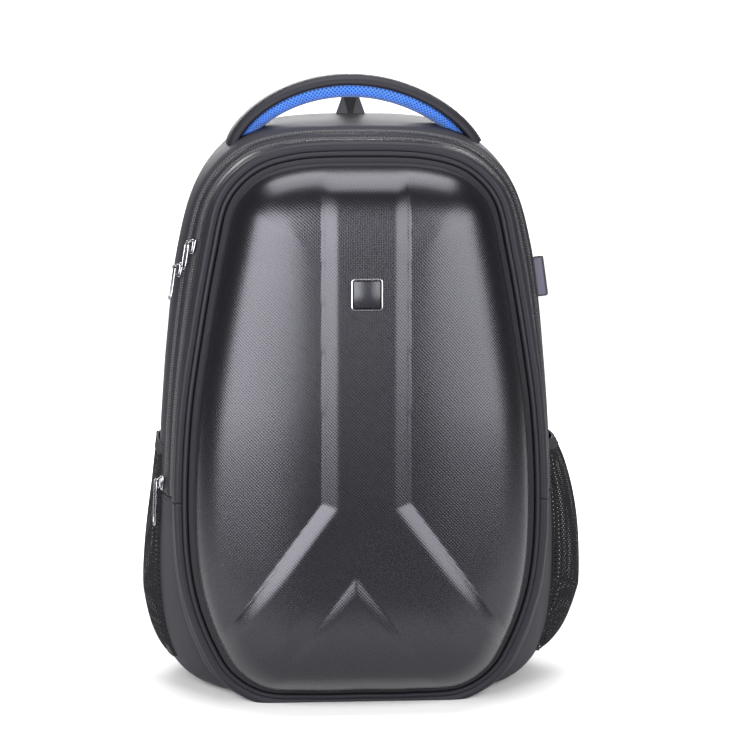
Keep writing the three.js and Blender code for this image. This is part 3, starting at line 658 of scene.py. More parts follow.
class Paint:
    """One material with its nodes."""

    def __init__(self, name):
        self.material = bpy.data.materials.new(name)
        self.material.use_nodes = True
        self.tree = self.material.node_tree
        self.tree.nodes.clear()

    def make(self, kind, settings=None, inputs=None, output=0):
        """A node of any kind: its settings first, then its sockets' values or links."""
        node = self.tree.nodes.new(kind)
        for key, value in (settings or {}).items():
            setattr(node, key, value)
        for key, value in (inputs or {}).items():
            if isinstance(value, Signal):
                self.tree.links.new(value.socket, node.inputs[key])
            else:
                node.inputs[key].default_value = value
        return Signal(self, node.outputs[output])

    def place(self, source="Object"):
        """x, y and z of the piece, or of its UV map of that name, in metres."""
        if source == "Object":
            spot = self.make("ShaderNodeTexCoord", output="Object")
        else:
            spot = self.make("ShaderNodeUVMap", {"uv_map": source})
        split = self.make("ShaderNodeSeparateXYZ", inputs={0: spot})
        return spot, [Signal(self, split.socket.node.outputs[i]) for i in range(3)]

    def noise(self, spot, scale, detail=2.0, rough=0.5):
        inputs = {"Vector": spot, "Scale": scale, "Detail": detail, "Roughness": rough}
        return self.make("ShaderNodeTexNoise", {}, inputs)

    def blend(self, a, b, factor):
        """Colour between a and b."""
        inputs = {0: factor, 6: opaque(a), 7: opaque(b)}
        return self.make("ShaderNodeMix", {"data_type": "RGBA"}, inputs, 2)

    def bump(self, height, distance, strength=1.0, under=None):
        inputs = {"Height": height, "Distance": distance, "Strength": strength}
        if under:
            inputs["Normal"] = under
        return self.make("ShaderNodeBump", {}, inputs)

    def finish(self, color, roughness, normal=None, metallic=0.0, alpha=None, **settings):
        inputs = {"Base Color": opaque(color), "Roughness": roughness, "Metallic": metallic}
        if normal:
            inputs["Normal"] = normal
        if alpha:
            inputs["Alpha"] = alpha
        inputs.update({key.replace("_", " "): value for key, value in settings.items()})
        shader = self.make("ShaderNodeBsdfPrincipled", {}, inputs)
        output = self.tree.nodes.new("ShaderNodeOutputMaterial")
        self.tree.links.new(shader.socket, output.inputs["Surface"])
        return self.material


def tone(base, factor):
    return tuple(clamp(c * factor) for c in base)


def finishes():
    group = values(bpy.context.scene.backpack_finish)
    return SimpleNamespace(**{key: tuple(value) for key, value in vars(group).items()})


def material(build):
    """Turns a recipe into a function that makes the named material at its first use."""
    def made(name, *details):
        return bpy.data.materials.get(name) or build(Paint(name), *details)
    return made


# Finishes

@material
def pressed_twill(paint, base, pitch):
    """Moulded shell: a pressed twill whose lighter dots fade towards its foot, a painted shade that darkens
    the lower shell, and a matt flat edge.
    """
    _, (u, v, _) = paint.place("Cloth")
    _, (inside, _, _) = paint.place("Edge")
    spot, (_, _, z) = paint.place()
    turn = 2 * math.pi / pitch
    twill = ((u + v) * turn).sin() * 0.62 + ((u - v) * turn).sin() * 0.38
    # the twill's lighter dots fade out below the middle of the shell: painted shade that darkens the lower
    # shell's colour, also carried into its bump and gloss
    raised = twill.step(-0.5, 0.7) * (z.step(0.03, 0.14) * 0.7 + 0.3)
    face = inside.step(0.0035, 0.0065)
    cloud = paint.noise(spot, 7.0, 3.0)
    fine = paint.noise(spot, 900.0, 2.0)
    color = paint.blend(tone(base, 0.35), tone(base, 1.7), raised + cloud * 0.2)
    normal = paint.bump(raised * face, 0.00012, 0.4)
    normal = paint.bump(fine, 0.00002, 0.4, normal)
    gloss = cloud * 0.05 + 0.27 - raised * 0.07
    return paint.finish(color, gloss * face + (1.0 - face) * 0.8, normal, Specular_IOR_Level=0.48,
                        Specular_Tint=(0.9, 0.89, 1.0, 1.0))


@material
def coated_cloth(paint, base, roughness):
    """Coated cloth: a fine grain over soft creases."""
    spot, _ = paint.place()
    cloud = paint.noise(spot, 9.0, 3.0)
    leather = paint.noise(spot, 520.0, 3.0, 0.6)
    crease = paint.noise(spot, 60.0, 2.0)
    color = paint.blend(tone(base, 0.85), tone(base, 1.18), cloud * 0.7 + leather * 0.3)
    normal = paint.bump(leather, 0.00006, 0.6)
    normal = paint.bump(crease, 0.00035, 0.35, normal)
    return paint.finish(color, cloud * 0.1 + (roughness - 0.05), normal, Specular_IOR_Level=0.22,
                        Specular_Tint=(0.9, 0.88, 1.0, 1.0))


@material
def woven(paint, base, pitch, roughness):
    """Webbing and tapes: fine ribs with a cross thread."""
    _, (u, v, _) = paint.place("Cloth")
    spot, _ = paint.place()
    turn = 2 * math.pi / pitch
    ribs = ((u + v * 0.5) * turn).sin() * 0.5 + 0.5
    threads = ((u - v * 0.5) * turn).sin() * 0.5 + 0.5
    height = ribs * threads
    cloud = paint.noise(spot, 40.0, 2.0)
    color = paint.blend(tone(base, 0.6), tone(base, 1.7), height * 0.8 + cloud * 0.2)
    return paint.finish(color, 0.08 * cloud + roughness, paint.bump(height, 0.00025, 0.8),
                        Specular_IOR_Level=0.3)


@material
def knitted(paint, base, pitch, source, depth, contrast):
    """Knitted mesh: crossing threads round small holes."""
    _, (u, v, z) = paint.place(source)
    if source == "Object":
        v = z
    turn = math.pi / pitch
    weft = ((u + v * 0.6) * turn).sin().size()
    warp = ((u - v * 0.6) * turn).sin().size()
    threads = weft.most(warp).step(0.5, 1.0)
    spot, _ = paint.place()
    cloud = paint.noise(spot, 300.0, 2.0)
    color = paint.blend(tone(base, contrast), tone(base, 1.25), threads * 0.85 + cloud * 0.15)
    return paint.finish(color, 0.82, paint.bump(threads, depth, 0.8), Sheen_Weight=0.15,
                        Specular_IOR_Level=0.25)


@material
def netted(paint, base, pitch):
    """Net: dark threads with holes painted darker still, as painted shade seen through the net, that let a
    little light through.
    """
    _, (u, v, _) = paint.place("Cloth")
    turn = math.pi / pitch
    left = ((u + v * 0.75) * turn).sin().size()
    right = ((u - v * 0.75) * turn).sin().size()
    shaded_openings = left.least(right).step(0.78, 0.90)
    spot, _ = paint.place()
    cloud = paint.noise(spot, 500.0)
    color = paint.blend(tone(base, 0.7), tone(base, 2.2), cloud)
    # the holes of the net are painted near black: painted shade of the pocket behind it
    color = paint.blend(color, tone(base, 0.2), shaded_openings)
    threads = 1.0 - shaded_openings
    return paint.finish(color, 0.75, paint.bump(threads, 0.0002, 0.6), alpha=threads * 0.55 + 0.45,
                        Specular_IOR_Level=0.03)


@material
def plated(paint, base):
    """Plated metal with a faint cloud in its gloss."""
    spot, _ = paint.place()
    cloud = paint.noise(spot, 220.0, 3.0)
    color = paint.blend(tone(base, 0.92), tone(base, 1.0), cloud)
    return paint.finish(color, cloud * 0.1 + 0.14, paint.bump(cloud, 0.00001, 0.1), metallic=1.0)


@material
def moulded(paint, base, roughness):
    """Fine grained plastic, and thread."""
    spot, _ = paint.place()
    cloud = paint.noise(spot, 700.0, 2.0)
    color = paint.blend(tone(base, 0.85), tone(base, 1.15), cloud)
    return paint.finish(color, cloud * 0.1 + roughness, paint.bump(cloud, 0.00003, 0.6))


@material
def coiled(paint, base):
    """Coil teeth: a painted highlight on their crowns and painted shade between them."""
    _, (u, _, _) = paint.place("Cloth")
    crown = (u * math.pi).sin().size().step(0.68, 1.0)
    spot, _ = paint.place()
    cloud = paint.noise(spot, 500.0)
    # painted highlight on each tooth's crown, painted shade in the gaps between the teeth
    color = paint.blend(tone(base, 0.3), tone(base, 6.0), crown * 0.9 + cloud * 0.2)
    return paint.finish(color, cloud * 0.1 + 0.4, paint.bump(crown, 0.0001, 0.5), Specular_IOR_Level=0.3)


@material
def brushed_plate(paint, low, high):
    """Dark metal plate, brushed up and down."""
    spot, _ = paint.place()
    cloud = paint.noise(spot, 400.0, 2.0)
    stretched = paint.make("ShaderNodeMapping", {}, {"Vector": spot, "Scale": (30.0, 1.0, 1.0)})
    brushed = paint.noise(stretched, 160.0, 2.0)
    color = paint.blend(low, high, brushed)
    return paint.finish(color, cloud * 0.1 + 0.2, paint.bump(brushed, 0.00002, 0.5), metallic=0.6)


@material
def glowing_paper(paint, base):
    """White paper that glows softly behind the backpack, so that it stays even into the distance."""
    _, (_, y, _) = paint.place()
    glow = paint.blend((0.0, 0.0, 0.0), (1.0, 1.0, 1.0), y.step(0.15, 0.9))
    return paint.finish(base, 0.9, Emission_Color=glow, Emission_Strength=0.9)


def band_finish():
    return coated_cloth("coated_band", finishes().band, 0.55)


def body_finish():
    return coated_cloth("coated_body", finishes().body, 0.62)


def thread_finish():
    return moulded("thread", tone(finishes().body, 1.3), 0.6)


def webbing_finish():
    return woven("woven_webbing", finishes().webbing, 0.0016, 0.75)


def padding_finish(name, source):
    return knitted(name, finishes().padding, 0.0032, source, 0.0009, 0.3)


def steel_finish():
    return plated("plated_steel", finishes().steel)


# Shell

class ShellForm:
    """Face of the moulded shell: its edge, dome and raised lines."""

    def __init__(self, scene, skin):
        self.skin = skin
        self.size = values(scene.backpack_shell)
        inset = skin.size.pipe_radius + 2 * skin.size.gap
        steps = 2400
        self.edge = []
        for i in range(steps):
            place, away = skin.rim.at(i / steps)
            self.edge.append(place - away.normalized() * inset)
        self.tree = KDTree(steps)
        for i, place in enumerate(self.edge):
            self.tree.insert(place, i)
        self.tree.balance()
        self.high = self.edge[round(0.105 * steps)]
        self.low = self.edge[round(0.395 * steps)]
        self.top = sorted((p.x, p.z) for p in self.edge[: round(0.105 * steps) + 1])
        self.bottom = sorted((p.x, p.z) for p in self.edge[round(0.395 * steps): steps // 2 + 1])
        self.side = sorted((p.z, p.x) for p in self.edge[round(0.105 * steps): round(0.395 * steps) + 1])

    @staticmethod
    def read(table, key):
        i = max(1, min(bisect_left(table, (key, -1e9)), len(table) - 1))
        (a, p), (b, q) = table[i - 1], table[i]
        return mix(p, q, clamp((key - a) / max(b - a, 1e-9)))

    def at(self, across, up):
        """Point of the flat outline: across from -1 to 1, up from 0 to 1."""
        side = mix(self.low.z, self.high.z, up)
        reach = abs(across)
        bottom = self.read(self.bottom, reach * self.low.x) - self.low.z
        top = self.read(self.top, reach * self.high.x) - self.high.z
        return across * self.read(self.side, side), side + (1 - up) * bottom + up * top

    def step(self, inside, flank):
        part = clamp(inside / flank)
        return mix(math.sqrt(1 - (1 - part) ** 2), smoothstep(part, 0, 1), 0.45)

    def inside(self, x, z):
        """Distance from the shell's edge."""
        return self.tree.find(Vector((x, 0, z)))[2]

    def rise(self, x, z):
        size = self.size
        inside = self.inside(x, z) - size.flange
        if inside <= 0:
            return 0.0
        body = self.skin.size
        upper = smoothstep(z, body.rim_top * 0.55, body.rim_top)
        lower = 1 - smoothstep(z, body.rim_bottom, body.rim_top * 0.45)
        roll = (size.side_roll + (size.top_roll - size.side_roll) * upper
                + (size.bottom_roll - size.side_roll) * lower)
        dome = size.dome * (1 - (1 - min(1.0, inside / roll)) ** size.dome_power) ** (1 / size.dome_power)
        stem = size.stem_width / 2 - abs(x)
        if z < size.knee_height:
            arms = stem + (size.knee_height - z) * size.arm_slope
            stem = max(stem, arms / math.hypot(1, size.arm_slope))
        leg = max(0.0, size.triangle_height - z) * size.triangle_slope
        triangle = (leg - abs(x - size.triangle_shift)) / math.hypot(1, size.triangle_slope)
        lines = size.arm_rise * self.step(stem, size.arm_flank) * smoothstep(inside, 0, size.fade)
        lift = size.triangle_rise * self.step(triangle, size.triangle_flank)
        return dome + lines + lift * smoothstep(inside, 0, size.triangle_fade)

    def point(self, across, up):
        x, z = self.at(across, up)
        return Vector((self.skin.x + x, self.skin.y - self.rise(x, z), z))


class BACKPACK_OT_shell(bpy.types.Operator):
    """Moulded front shell with its raised stem, arms and triangle"""
    bl_idname = "backpack.shell"
    bl_label = "Front Shell"

    def execute(self, context):
        skin = Skin(context.scene)
        form = ShellForm(context.scene, skin)
        columns, rows = 200, 290

        def spread(part):
            return math.sin(part * math.pi / 2) * 0.35 + part * 0.65

        def place(u, v):
            part = 2 * u - 1
            up = (1 - math.cos(math.pi * v)) / 2 * 0.35 + v * 0.65
            return form.point(math.copysign(spread(abs(part)), part), up)

        bm = grid(columns, rows, place)
        uv = bm.loops.layers.uv["Cloth"]
        edge = bm.loops.layers.uv.new("Edge")
        bm.verts.ensure_lookup_table()
        wide = columns + 1
        insides = [form.inside(vert.co.x - skin.x, vert.co.z) for vert in bm.verts]
        points = [vert.co for vert in bm.verts]
        ups, acrosses = [0.0] * len(points), [0.0] * len(points)
        middle = columns // 2
        for row in range(rows + 1):
            first = row * wide
            if row:
                for column in range(wide):
                    i = first + column
                    ups[i] = ups[i - wide] + (points[i] - points[i - wide]).length
            for column in range(middle + 1, wide):
                i = first + column
                acrosses[i] = acrosses[i - 1] + (points[i] - points[i - 1]).length
            for column in range(middle - 1, -1, -1):
                i = first + column
                acrosses[i] = acrosses[i + 1] - (points[i] - points[i + 1]).length
        for face in bm.faces:
            for loop in face.loops:
                i = loop.vert.index
                loop[uv].uv = (acrosses[i], ups[i // wide * wide + middle])
                loop[edge].uv = (insides[i], 0)
        facing(bm, Vector((skin.x, skin.y + 0.2, 0.22)))
        # the lip runs back and then out behind the piping, so that no light passes between the two
        centre = Vector((skin.x, 0, (form.low.z + form.high.z) / 2))
        for back, out in ((form.size.wall + form.size.lip, 0), (0, form.size.lip_turn)):
            rim = [edge for edge in bm.edges if edge.is_boundary]
            for item in bmesh.ops.extrude_edge_only(bm, edges=rim)["geom"]:
                if isinstance(item, bmesh.types.BMVert):
                    away = Vector((item.co.x - centre.x, 0, item.co.z - centre.z)).normalized()
                    item.co += away * out + Vector((0, back, 0))
        twill = pressed_twill("moulded_shell", finishes().shell, 0.0027)
        add_piece("moulded_front_shell", bm, [twill], ["front_shell"], 50)
        return {"FINISHED"}


class BACKPACK_OT_bands(bpy.types.Operator):
    """Piping, rolled front band and the strip between the zips"""
    bl_idname = "backpack.bands"
    bl_label = "Piping and Bands"

    def execute(self, context):
        skin = Skin(context.scene)
        size = skin.size
        sides = 12
        bead = []
        for i in range(sides):
            angle = 2 * math.pi * i / sides
            bead.append((size.pipe_radius * math.sin(angle), size.pipe_radius * math.cos(angle)))
        bm = ring(skin, bead, 480)
        add_piece("piping_bead", bm, [band_finish()], ["shell_piping"])

        seat = size.pipe_radius + 1.2 * size.gap
        roll, depth = size.band_roll, size.band_depth
        face = [(seat * 0.5, seat * 0.87), (0.02 * depth, 0.5 * roll), (0.02 * depth, 0.72 * roll),
                (0.11 * depth, 0.96 * roll), (0.29 * depth, roll)]
        high = face + [(0.52 * depth, 0.8 * roll), (0.77 * depth, 0.48 * roll), (0.97 * depth, 0.26 * roll),
                       (depth, 0.1 * roll), (0.9 * depth, -0.04 * roll), (0.52 * depth, 0.24 * roll),
                       (0.2 * depth, seat)]
        low_end = size.low_band_depth
        low = face + [(0.93 * low_end, 0.8 * roll), (low_end, 0.7 * roll), (low_end, 0.3 * roll),
                      (0.2 * depth, seat)]

        def ripple(part, deep, out):
            spot = Vector((part * 60, deep * 90, 3.1))
            return 0.00035 * noise.noise(spot) * smoothstep(out, 0.002, 0.006)

        bm = ring(skin, smooth_section(high), 480, "above", ripple)
        join(bm, ring(skin, smooth_section(low), 300, "below", ripple))
        add_piece("rolled_band", bm, [band_finish()], ["front_band"])

        start, wide, proud = skin.front_zip_end + size.gap, size.mid_band_width, size.proud
        strip = [(start, 0), (start + 0.04 * wide, 0.7 * proud), (start + 0.25 * wide, 1.1 * proud),
                 (start + 0.75 * wide, 1.1 * proud), (start + 0.96 * wide, 0.7 * proud), (start + wide, 0),
                 (start + 0.9 * wide, -0.5 * proud), (start + 0.1 * wide, -0.5 * proud)]
        bm = ring(skin, smooth_section(strip, 3), 420, "above")
        end = skin.part(skin.turn_at(size.seam_height + 0.004, start))
        for deep in (start + 0.16 * wide, start + 0.84 * wide):
            def path(part):
                return skin.point(skin.turn(mix(-end, end, part)), deep, 1.06 * proud)

            def away(part):
                turn = skin.turn(mix(-end, end, part))
                return skin.point(turn, deep, 0.01) - skin.point(turn, deep, 0)

            sew(bm, path, away)
        add_piece("middle_band", bm, [band_finish(), thread_finish()], ["mid_band"])
        return {"FINISHED"}


class BACKPACK_OT_zips(bpy.types.Operator):
    """Front and main zips with their tapes and coil teeth"""
    bl_idname = "backpack.zips"
    bl_label = "Zips"

    def execute(self, context):
        skin = Skin(context.scene)
        size = skin.size
        black = finishes().zip
        tape = woven("zip_tape", black, 0.0012, 0.75)
        coil = coiled("zip_coil", black)
        pitch = context.scene.backpack_trim.tooth_pitch
        half, bed_rise, crown = 0.0019, 0.0006, 0.0017
        for name, start, node in (("front_zip_coil", skin.band_start, "front_zip"),
                                  ("main_zip_coil", skin.mid_band_end + size.gap, "main_zip")):
            wide = size.zip_width
            low = 0.35 * size.proud
            bed = [(start, low), (start + 0.2 * wide, low), (start + 0.35 * wide, low * 1.4),
                   (start + 0.65 * wide, low * 1.4), (start + 0.8 * wide, low), (start + wide, low),
                   (start + wide, -size.proud * 0.4), (start, -size.proud * 0.4)]
            bm = ring(skin, bed, 360, "above")
            middle = start + wide / 2
            end = skin.part(skin.turn_at(size.seam_height + 0.001, middle))
            teeth = round(2 * end * skin.girth / pitch)

            def place(u, v):
                part = u * 2 * end - end
                angle = math.pi * v
                phase = 0.0 if v < 0.5 else 0.5
                bulk = math.sin(math.pi * (u * teeth + phase)) ** 2
                dip = 0.45 if abs(v - 0.5) < 0.01 else 1.0
                deep = middle - half * math.cos(angle)
                out = low + (bed_rise + crown * bulk * dip) * math.sin(angle)
                return skin.point(skin.turn(part), deep, out)

            def lay(u, v):
                return u * teeth + (0.5 if v >= 0.5 else 0), v

            bead = closed(grid(teeth * 4, 8, place, lay))
            for face in bead.faces:
                face.material_index = 1
            join(bm, bead)
            add_piece(name, bm, [tape, coil], [node])
        return {"FINISHED"}


def wall_section(skin, start):
    """Section of a cloth wall from start to the body's back edge, its inner side last."""
    size = skin.size
    end, back, proud, wall = size.body_depth, size.back_round, size.proud, size.wall
    points = [(start, proud * 0.1), (start + 0.0010, proud * 0.4), (start + 0.004, proud * 0.62),
              (start + 0.007, proud * 0.85), (start + 0.0095, proud * 1.08), (start + 0.0125, proud * 1.12)]
    points += [(mix(start, end, part), mix(proud, proud * 0.5, clamp((part - 0.12) / 0.38)))
               for part in (0.2, 0.26, 0.32, 0.38, 0.44, 0.5)]
    points += [(mix(start, end, part), mix(proud * 0.5, 0, clamp((part - 0.5) / 0.4)))
               for part in (0.6, 0.7, 0.8)]
    for step in range(7):
        angle = math.pi / 2 * step / 6
        points.append((end - back + back * math.sin(angle), -back + back * math.cos(angle)))
    points += [(end, -back - 0.001), (end - wall, -back - wall * 0.4),
               (end - back - wall * 0.4, -wall), (mix(start, end, 0.5), -wall), (start, proud - wall)]
    return points


def slack(amount, across):
    """Soft unevenness of a cloth panel that fades out at its sewn edges."""
    def ripple(part, deep, out):
        if out < -0.002:
            return 0.0
        spot = Vector((part * 9, deep * 14, across))
        fine = Vector((part * 34, deep * 30, across + 5))
        return amount * (noise.noise(spot) + 0.3 * noise.noise(fine))
    return ripple


class BACKPACK_OT_body(bpy.types.Operator):
    """Cloth sides and top of the body, and the base panel"""
    bl_idname = "backpack.body"
    bl_label = "Body Cloth"

    def execute(self, context):
        skin = Skin(context.scene)
        size = skin.size
        gusset = ring(skin, wall_section(skin, skin.gusset_start), 420, "above", slack(0.0010, 1.3))
        add_piece("body_sides", gusset, [body_finish()], ["body_gusset"])

        start = size.low_band_depth + size.gap
        base = ring(skin, wall_section(skin, start), 320, "below", slack(0.0008, 7.9))
        for side in (1, -1):
            def path(part):
                deep = mix(start + 0.004, size.body_depth - size.back_round, part)
                turn = skin.turn_at(size.seam_height - 0.0035, deep, side)
                return skin.point(turn, deep, size.proud * 1.05)

            sew(base, path, lambda part: Vector((side, 0, 0)))
        add_piece("base_cloth", base, [body_finish(), thread_finish()], ["base_panel"])
        return {"FINISHED"}


# Back

def back_face(size):
    """Depth of the back panel's face."""
    return size.body_depth + 0.003


def cushion(skin, pads, name, x, z, wide, tall, node):
    """Foam pad: an even rounded block that the simulation swells."""
    low = back_face(skin.size) + skin.size.gap + skin.y
    size = (wide - 0.006, pads.core, tall - 0.006)
    bm = rounded_box(size, pads.corner, 5, (x, low + pads.core / 2, z), "Y")
    piece = add_piece(name, bm, [padding_finish("spacer_mesh", "Object")], [node])
    remesh(piece, 0.0042)
    return piece


def channels(piece, pads, heights, base):
    """Sewn channels across a swollen pad."""
    for vert in piece.data.vertices:
        lift = vert.co.y - base
        if lift <= 0.002:
            continue
        for height in heights:
            near = abs(vert.co.z - height) / pads.channel_half
            if near < 1:
                vert.co.y -= pads.channel_depth * (1 - near * near) ** 2 * clamp(lift / 0.008)


class BACKPACK_OT_back(bpy.types.Operator):
    """Back panel with its two pads and the lumbar pad"""
    bl_idname = "backpack.back"
    bl_label = "Back"

    def execute(self, context):
        skin = Skin(context.scene)
        size = skin.size
        edge = size.back_round + size.wall * 0.4 + size.gap
        face = back_face(size)
        rows = [(face - 0.009, 0.05), (face - 0.009, edge + 0.0018), (size.body_depth - 0.002, edge),
                (size.body_depth, edge), (face - 0.0012, edge + 0.003), (face - 0.0004, edge + 0.008),
                (face, edge + 0.016), (face, edge + 0.034), (face, edge + 0.06), (face, edge + 0.09)]
        centre = Vector((skin.x, 0, 0.235))
        rim = edge + 0.016

        def place(u, v):
            i = round(v * (len(rows) + 1))
            if i == 0 or i == len(rows) + 1:
                return Vector((centre.x, skin.y + rows[0 if i == 0 else -1][0], centre.z))
            deep, inset = rows[i - 1]
            spot = skin.point(skin.turn(u), size.body_depth, -min(inset, rim))
            spot.y = skin.y + deep
            if inset > rim:
                pull = (inset - rim) / 0.13
                spot.x, spot.z = mix(spot.x, centre.x, pull), mix(spot.z, centre.z, pull)
            return spot

        bm = closed(grid(240, len(rows) + 1, place))
        add_piece("back_cloth", bm, [padding_finish("spacer_mesh", "Object")], ["back_panel"])

        pads = values(context.scene.backpack_pads)
        base = skin.y + face + size.gap
        cushions = []
        for side, name in ((-1, "left"), (1, "right")):
            cushions.append(cushion(skin, pads, f"foam_pad_{name}", skin.x + side * pads.spread, pads.height,
                                    pads.width, pads.tall, f"back_pad_{name}"))
        cushions.append(cushion(skin, pads, "foam_pad_lumbar", skin.x, pads.lumbar_height,
                                pads.lumbar_width, pads.lumbar_tall, "lumbar_pad"))
        settle(cushions, 4.0, 0.004)
        tall_rows, lumbar_rows = (0.355, 0.310, 0.265, 0.220, 0.175), (0.060, 0.088)
        for pad, heights in zip(cushions, (tall_rows, tall_rows, lumbar_rows)):
            for vert in pad.data.vertices:
                vert.co.y = max(vert.co.y, base + 0.0001)
            channels(pad, pads, heights, base)
            smooth = pad.modifiers.new("Smooth", "SUBSURF")
            smooth.levels = smooth.render_levels = 1
        return {"FINISHED"}


# Shoulder strap, from its seam at the top of the back to the lower corner of the body, as (share of the
# strap's reach behind the pads, share of the body height, share of half the width, width, thickness)
STRAP_ROWS = (
    (-0.13, 0.925, 0.265, 0.8, 0.4),
    (0.12, 0.945, 0.27, 0.8, 0.6),
    (0.55, 0.93, 0.29, 0.9, 0.9),
    (0.86, 0.86, 0.32, 1, 1),
    (1, 0.74, 0.36, 1, 1),
    (0.98, 0.6, 0.41, 1, 1),
    (0.84, 0.47, 0.47, 0.92, 0.9),
    (0.66, 0.38, 0.53, 0.66, 0.6),
)


def across_path(run):
    """Directions across a run: along the strap's width and out of its face."""
    across = (Vector((1, 0, 0)) - run * run.x).normalized()
    return across, across.cross(run).normalized()


def run_at(path, part):
    return (path(min(1.0, part + 1e-4)) - path(max(0.0, part - 1e-4))).normalized()


def ribbon(path, wide, thick, steps, length_along):
    """Flat woven ribbon along a path, its edges slightly rounded."""
    section = [(-1, -0.3), (-1, 0.3), (-0.94, 0.9), (-0.5, 1), (0, 1), (0.5, 1), (0.94, 0.9)]
    section += [(-a, -b) for a, b in section]

    def place(u, v):
        a, b = corner(section, v)
        across, away = across_path(run_at(path, u))
        return path(u) + across * a * wide / 2 + away * b * thick / 2

    def lay(u, v):
        return corner(section, v)[0] * wide / 2, u * length_along

    return closed(grid(steps, len(section), place, lay))


def ladder_buckle(fittings):
    """Flat buckle with two slots, lying across X: a plate that is cut open, thickened and rounded."""
    wide, tall = fittings.buckle_width / 2, fittings.buckle_tall / 2
    xs = (-wide, 0.0035 - wide, wide - 0.0035, wide)
    ys = (-tall, 0.0035 - tall, -0.004, 0.001, 0.0085, tall)
    bm = bmesh.new()
    bmesh.ops.create_grid(bm, x_segments=3, y_segments=5, size=0.5)
    slots = []
    for face in bm.faces:
        middle = face.calc_center_median()
        if abs(middle.x) < 0.1 and round(middle.y * 5) in (-1, 1):
            slots.append(face)
    for vert in bm.verts:
        vert.co = Vector((xs[round((vert.co.x + 0.5) * 3)], ys[round((vert.co.y + 0.5) * 5)], 0))
    bmesh.ops.delete(bm, geom=slots, context="FACES")
    made = bmesh.ops.extrude_face_region(bm, geom=list(bm.faces))
    lifted = [item for item in made["geom"] if isinstance(item, bmesh.types.BMVert)]
    bmesh.ops.translate(bm, verts=lifted, vec=(0, 0, fittings.buckle_thickness))
    bmesh.ops.recalc_face_normals(bm, faces=bm.faces)
    sharp = [edge for edge in bm.edges if len(edge.link_faces) == 2 and edge.calc_face_angle(0) > 1.0]
    bmesh.ops.bevel(bm, geom=sharp, offset=0.0008, segments=2, profile=0.5, affect="EDGES", material=-1)
    bmesh.ops.translate(bm, verts=bm.verts, vec=(0, 0, -fittings.buckle_thickness / 2))
    return bm


class BACKPACK_OT_straps(bpy.types.Operator):
    """Shoulder straps with adjusters and webbing"""
    bl_idname = "backpack.straps"
    bl_label = "Shoulder Straps"

    def execute(self, context):
        skin = Skin(context.scene)
        size, trim = skin.size, values(context.scene.backpack_trim)
        fittings = values(context.scene.backpack_fittings)
        face = back_face(size) + size.gap
        around, straps = 28, []
        turns = [2 * math.pi * i / around for i in range(around)]
        section = [(math.copysign(abs(math.cos(turn)) ** 0.6, math.cos(turn)),
                    math.copysign(abs(math.sin(turn)) ** 0.75, math.sin(turn))) for turn in turns]

        def broad(part, column):
            spot = part * (len(STRAP_ROWS) - 1)
            i = min(int(spot), len(STRAP_ROWS) - 2)
            return mix(STRAP_ROWS[i][column], STRAP_ROWS[i + 1][column], spot - i)

        for side, name in ((-1, "left"), (1, "right")):
            knots = [Vector((skin.x + side * apart * size.body_width / 2,
                             skin.y + face + trim.pad_thickness + back * trim.strap_reach,
                             rise * size.body_height)) for back, rise, apart, _, _ in STRAP_ROWS]
            path = smooth_path(knots)

            def place(u, v):
                a, b = corner(section, v)
                across, away = across_path(run_at(path, u))
                pinch = 1 - 0.18 * (1 - smoothstep(min(u, 1 - u), 0, 0.03))
                return (path(u) + across * a * 0.97 * trim.strap_width * broad(u, 3) / 2
                        + away * b * 0.86 * pinch * trim.strap_thickness * broad(u, 4) / 2)

            def lay(u, v):
                return corner(section, v)[0] * trim.strap_width / 2, u * 0.33

            bm = closed(grid(90, around, place, lay))
            straps.append(add_piece(f"padded_strap_{name}", bm, [padding_finish("strap_mesh", "Cloth")],
                                    [f"strap_{name}"]))

            for edge in (1, -1):
                def rim(part):
                    part = mix(0.01, 0.99, part)
                    across, _ = across_path(run_at(path, part))
                    return path(part) + across * edge * 0.985 * trim.strap_width * broad(part, 3) / 2

                bm = tube(rim, trim.binding, 90, 10)
                suffix = "outer" if edge == side else "inner"
                add_piece(f"strap_binding_{name}_{suffix}", bm, [webbing_finish()], ())

            run = run_at(path, 1.0)
            across, away = across_path(run)
            half = fittings.buckle_tall / 2 + size.gap
            bm = ladder_buckle(fittings)
            seat = Matrix.Translation(path(1.0) + run * half) @ axes(across, run * -1, away)
            bmesh.ops.transform(bm, matrix=seat, verts=bm.verts)
            bmesh.ops.recalc_face_normals(bm, faces=bm.faces)
            plastic = moulded("black_plastic", finishes().plastic, 0.38)
            add_piece(f"ladder_buckle_{name}", bm, [plastic], [f"strap_adjuster_{name}"], 40)

            start = path(1.0) + run * 2 * half
            foot = Vector((skin.x + side * size.body_width * 0.37,
                           skin.y + face + trim.webbing_thickness / 2 + size.gap, size.body_height * 0.08))
            bend = start.lerp(foot, 0.85)
            bend.y = foot.y
            lead = start + run * 0.026

            def fall(part):
                rest = 1 - part
                return (start * rest ** 3 + lead * 3 * rest ** 2 * part
                        + bend * 3 * rest * part ** 2 + foot * part ** 3)

            bm = ribbon(fall, trim.webbing_width, trim.webbing_thickness, 60, 0.135)
            for row in (0.88, 0.97):
                across, away = across_path(run_at(fall, row))
                for column in range(-3, 4):
                    spot = fall(row) + across * column * 0.0032 + away * trim.webbing_thickness * 0.52
                    stitches(bm, [(spot, across, away)], 0.0022, trim.stitch_radius)
            add_piece(f"strap_web_{name}", bm, [webbing_finish(), thread_finish()],
                      [f"strap_webbing_{name}"])
        settle(straps, 3.0, 0.0012)
        return {"FINISHED"}


# Handle

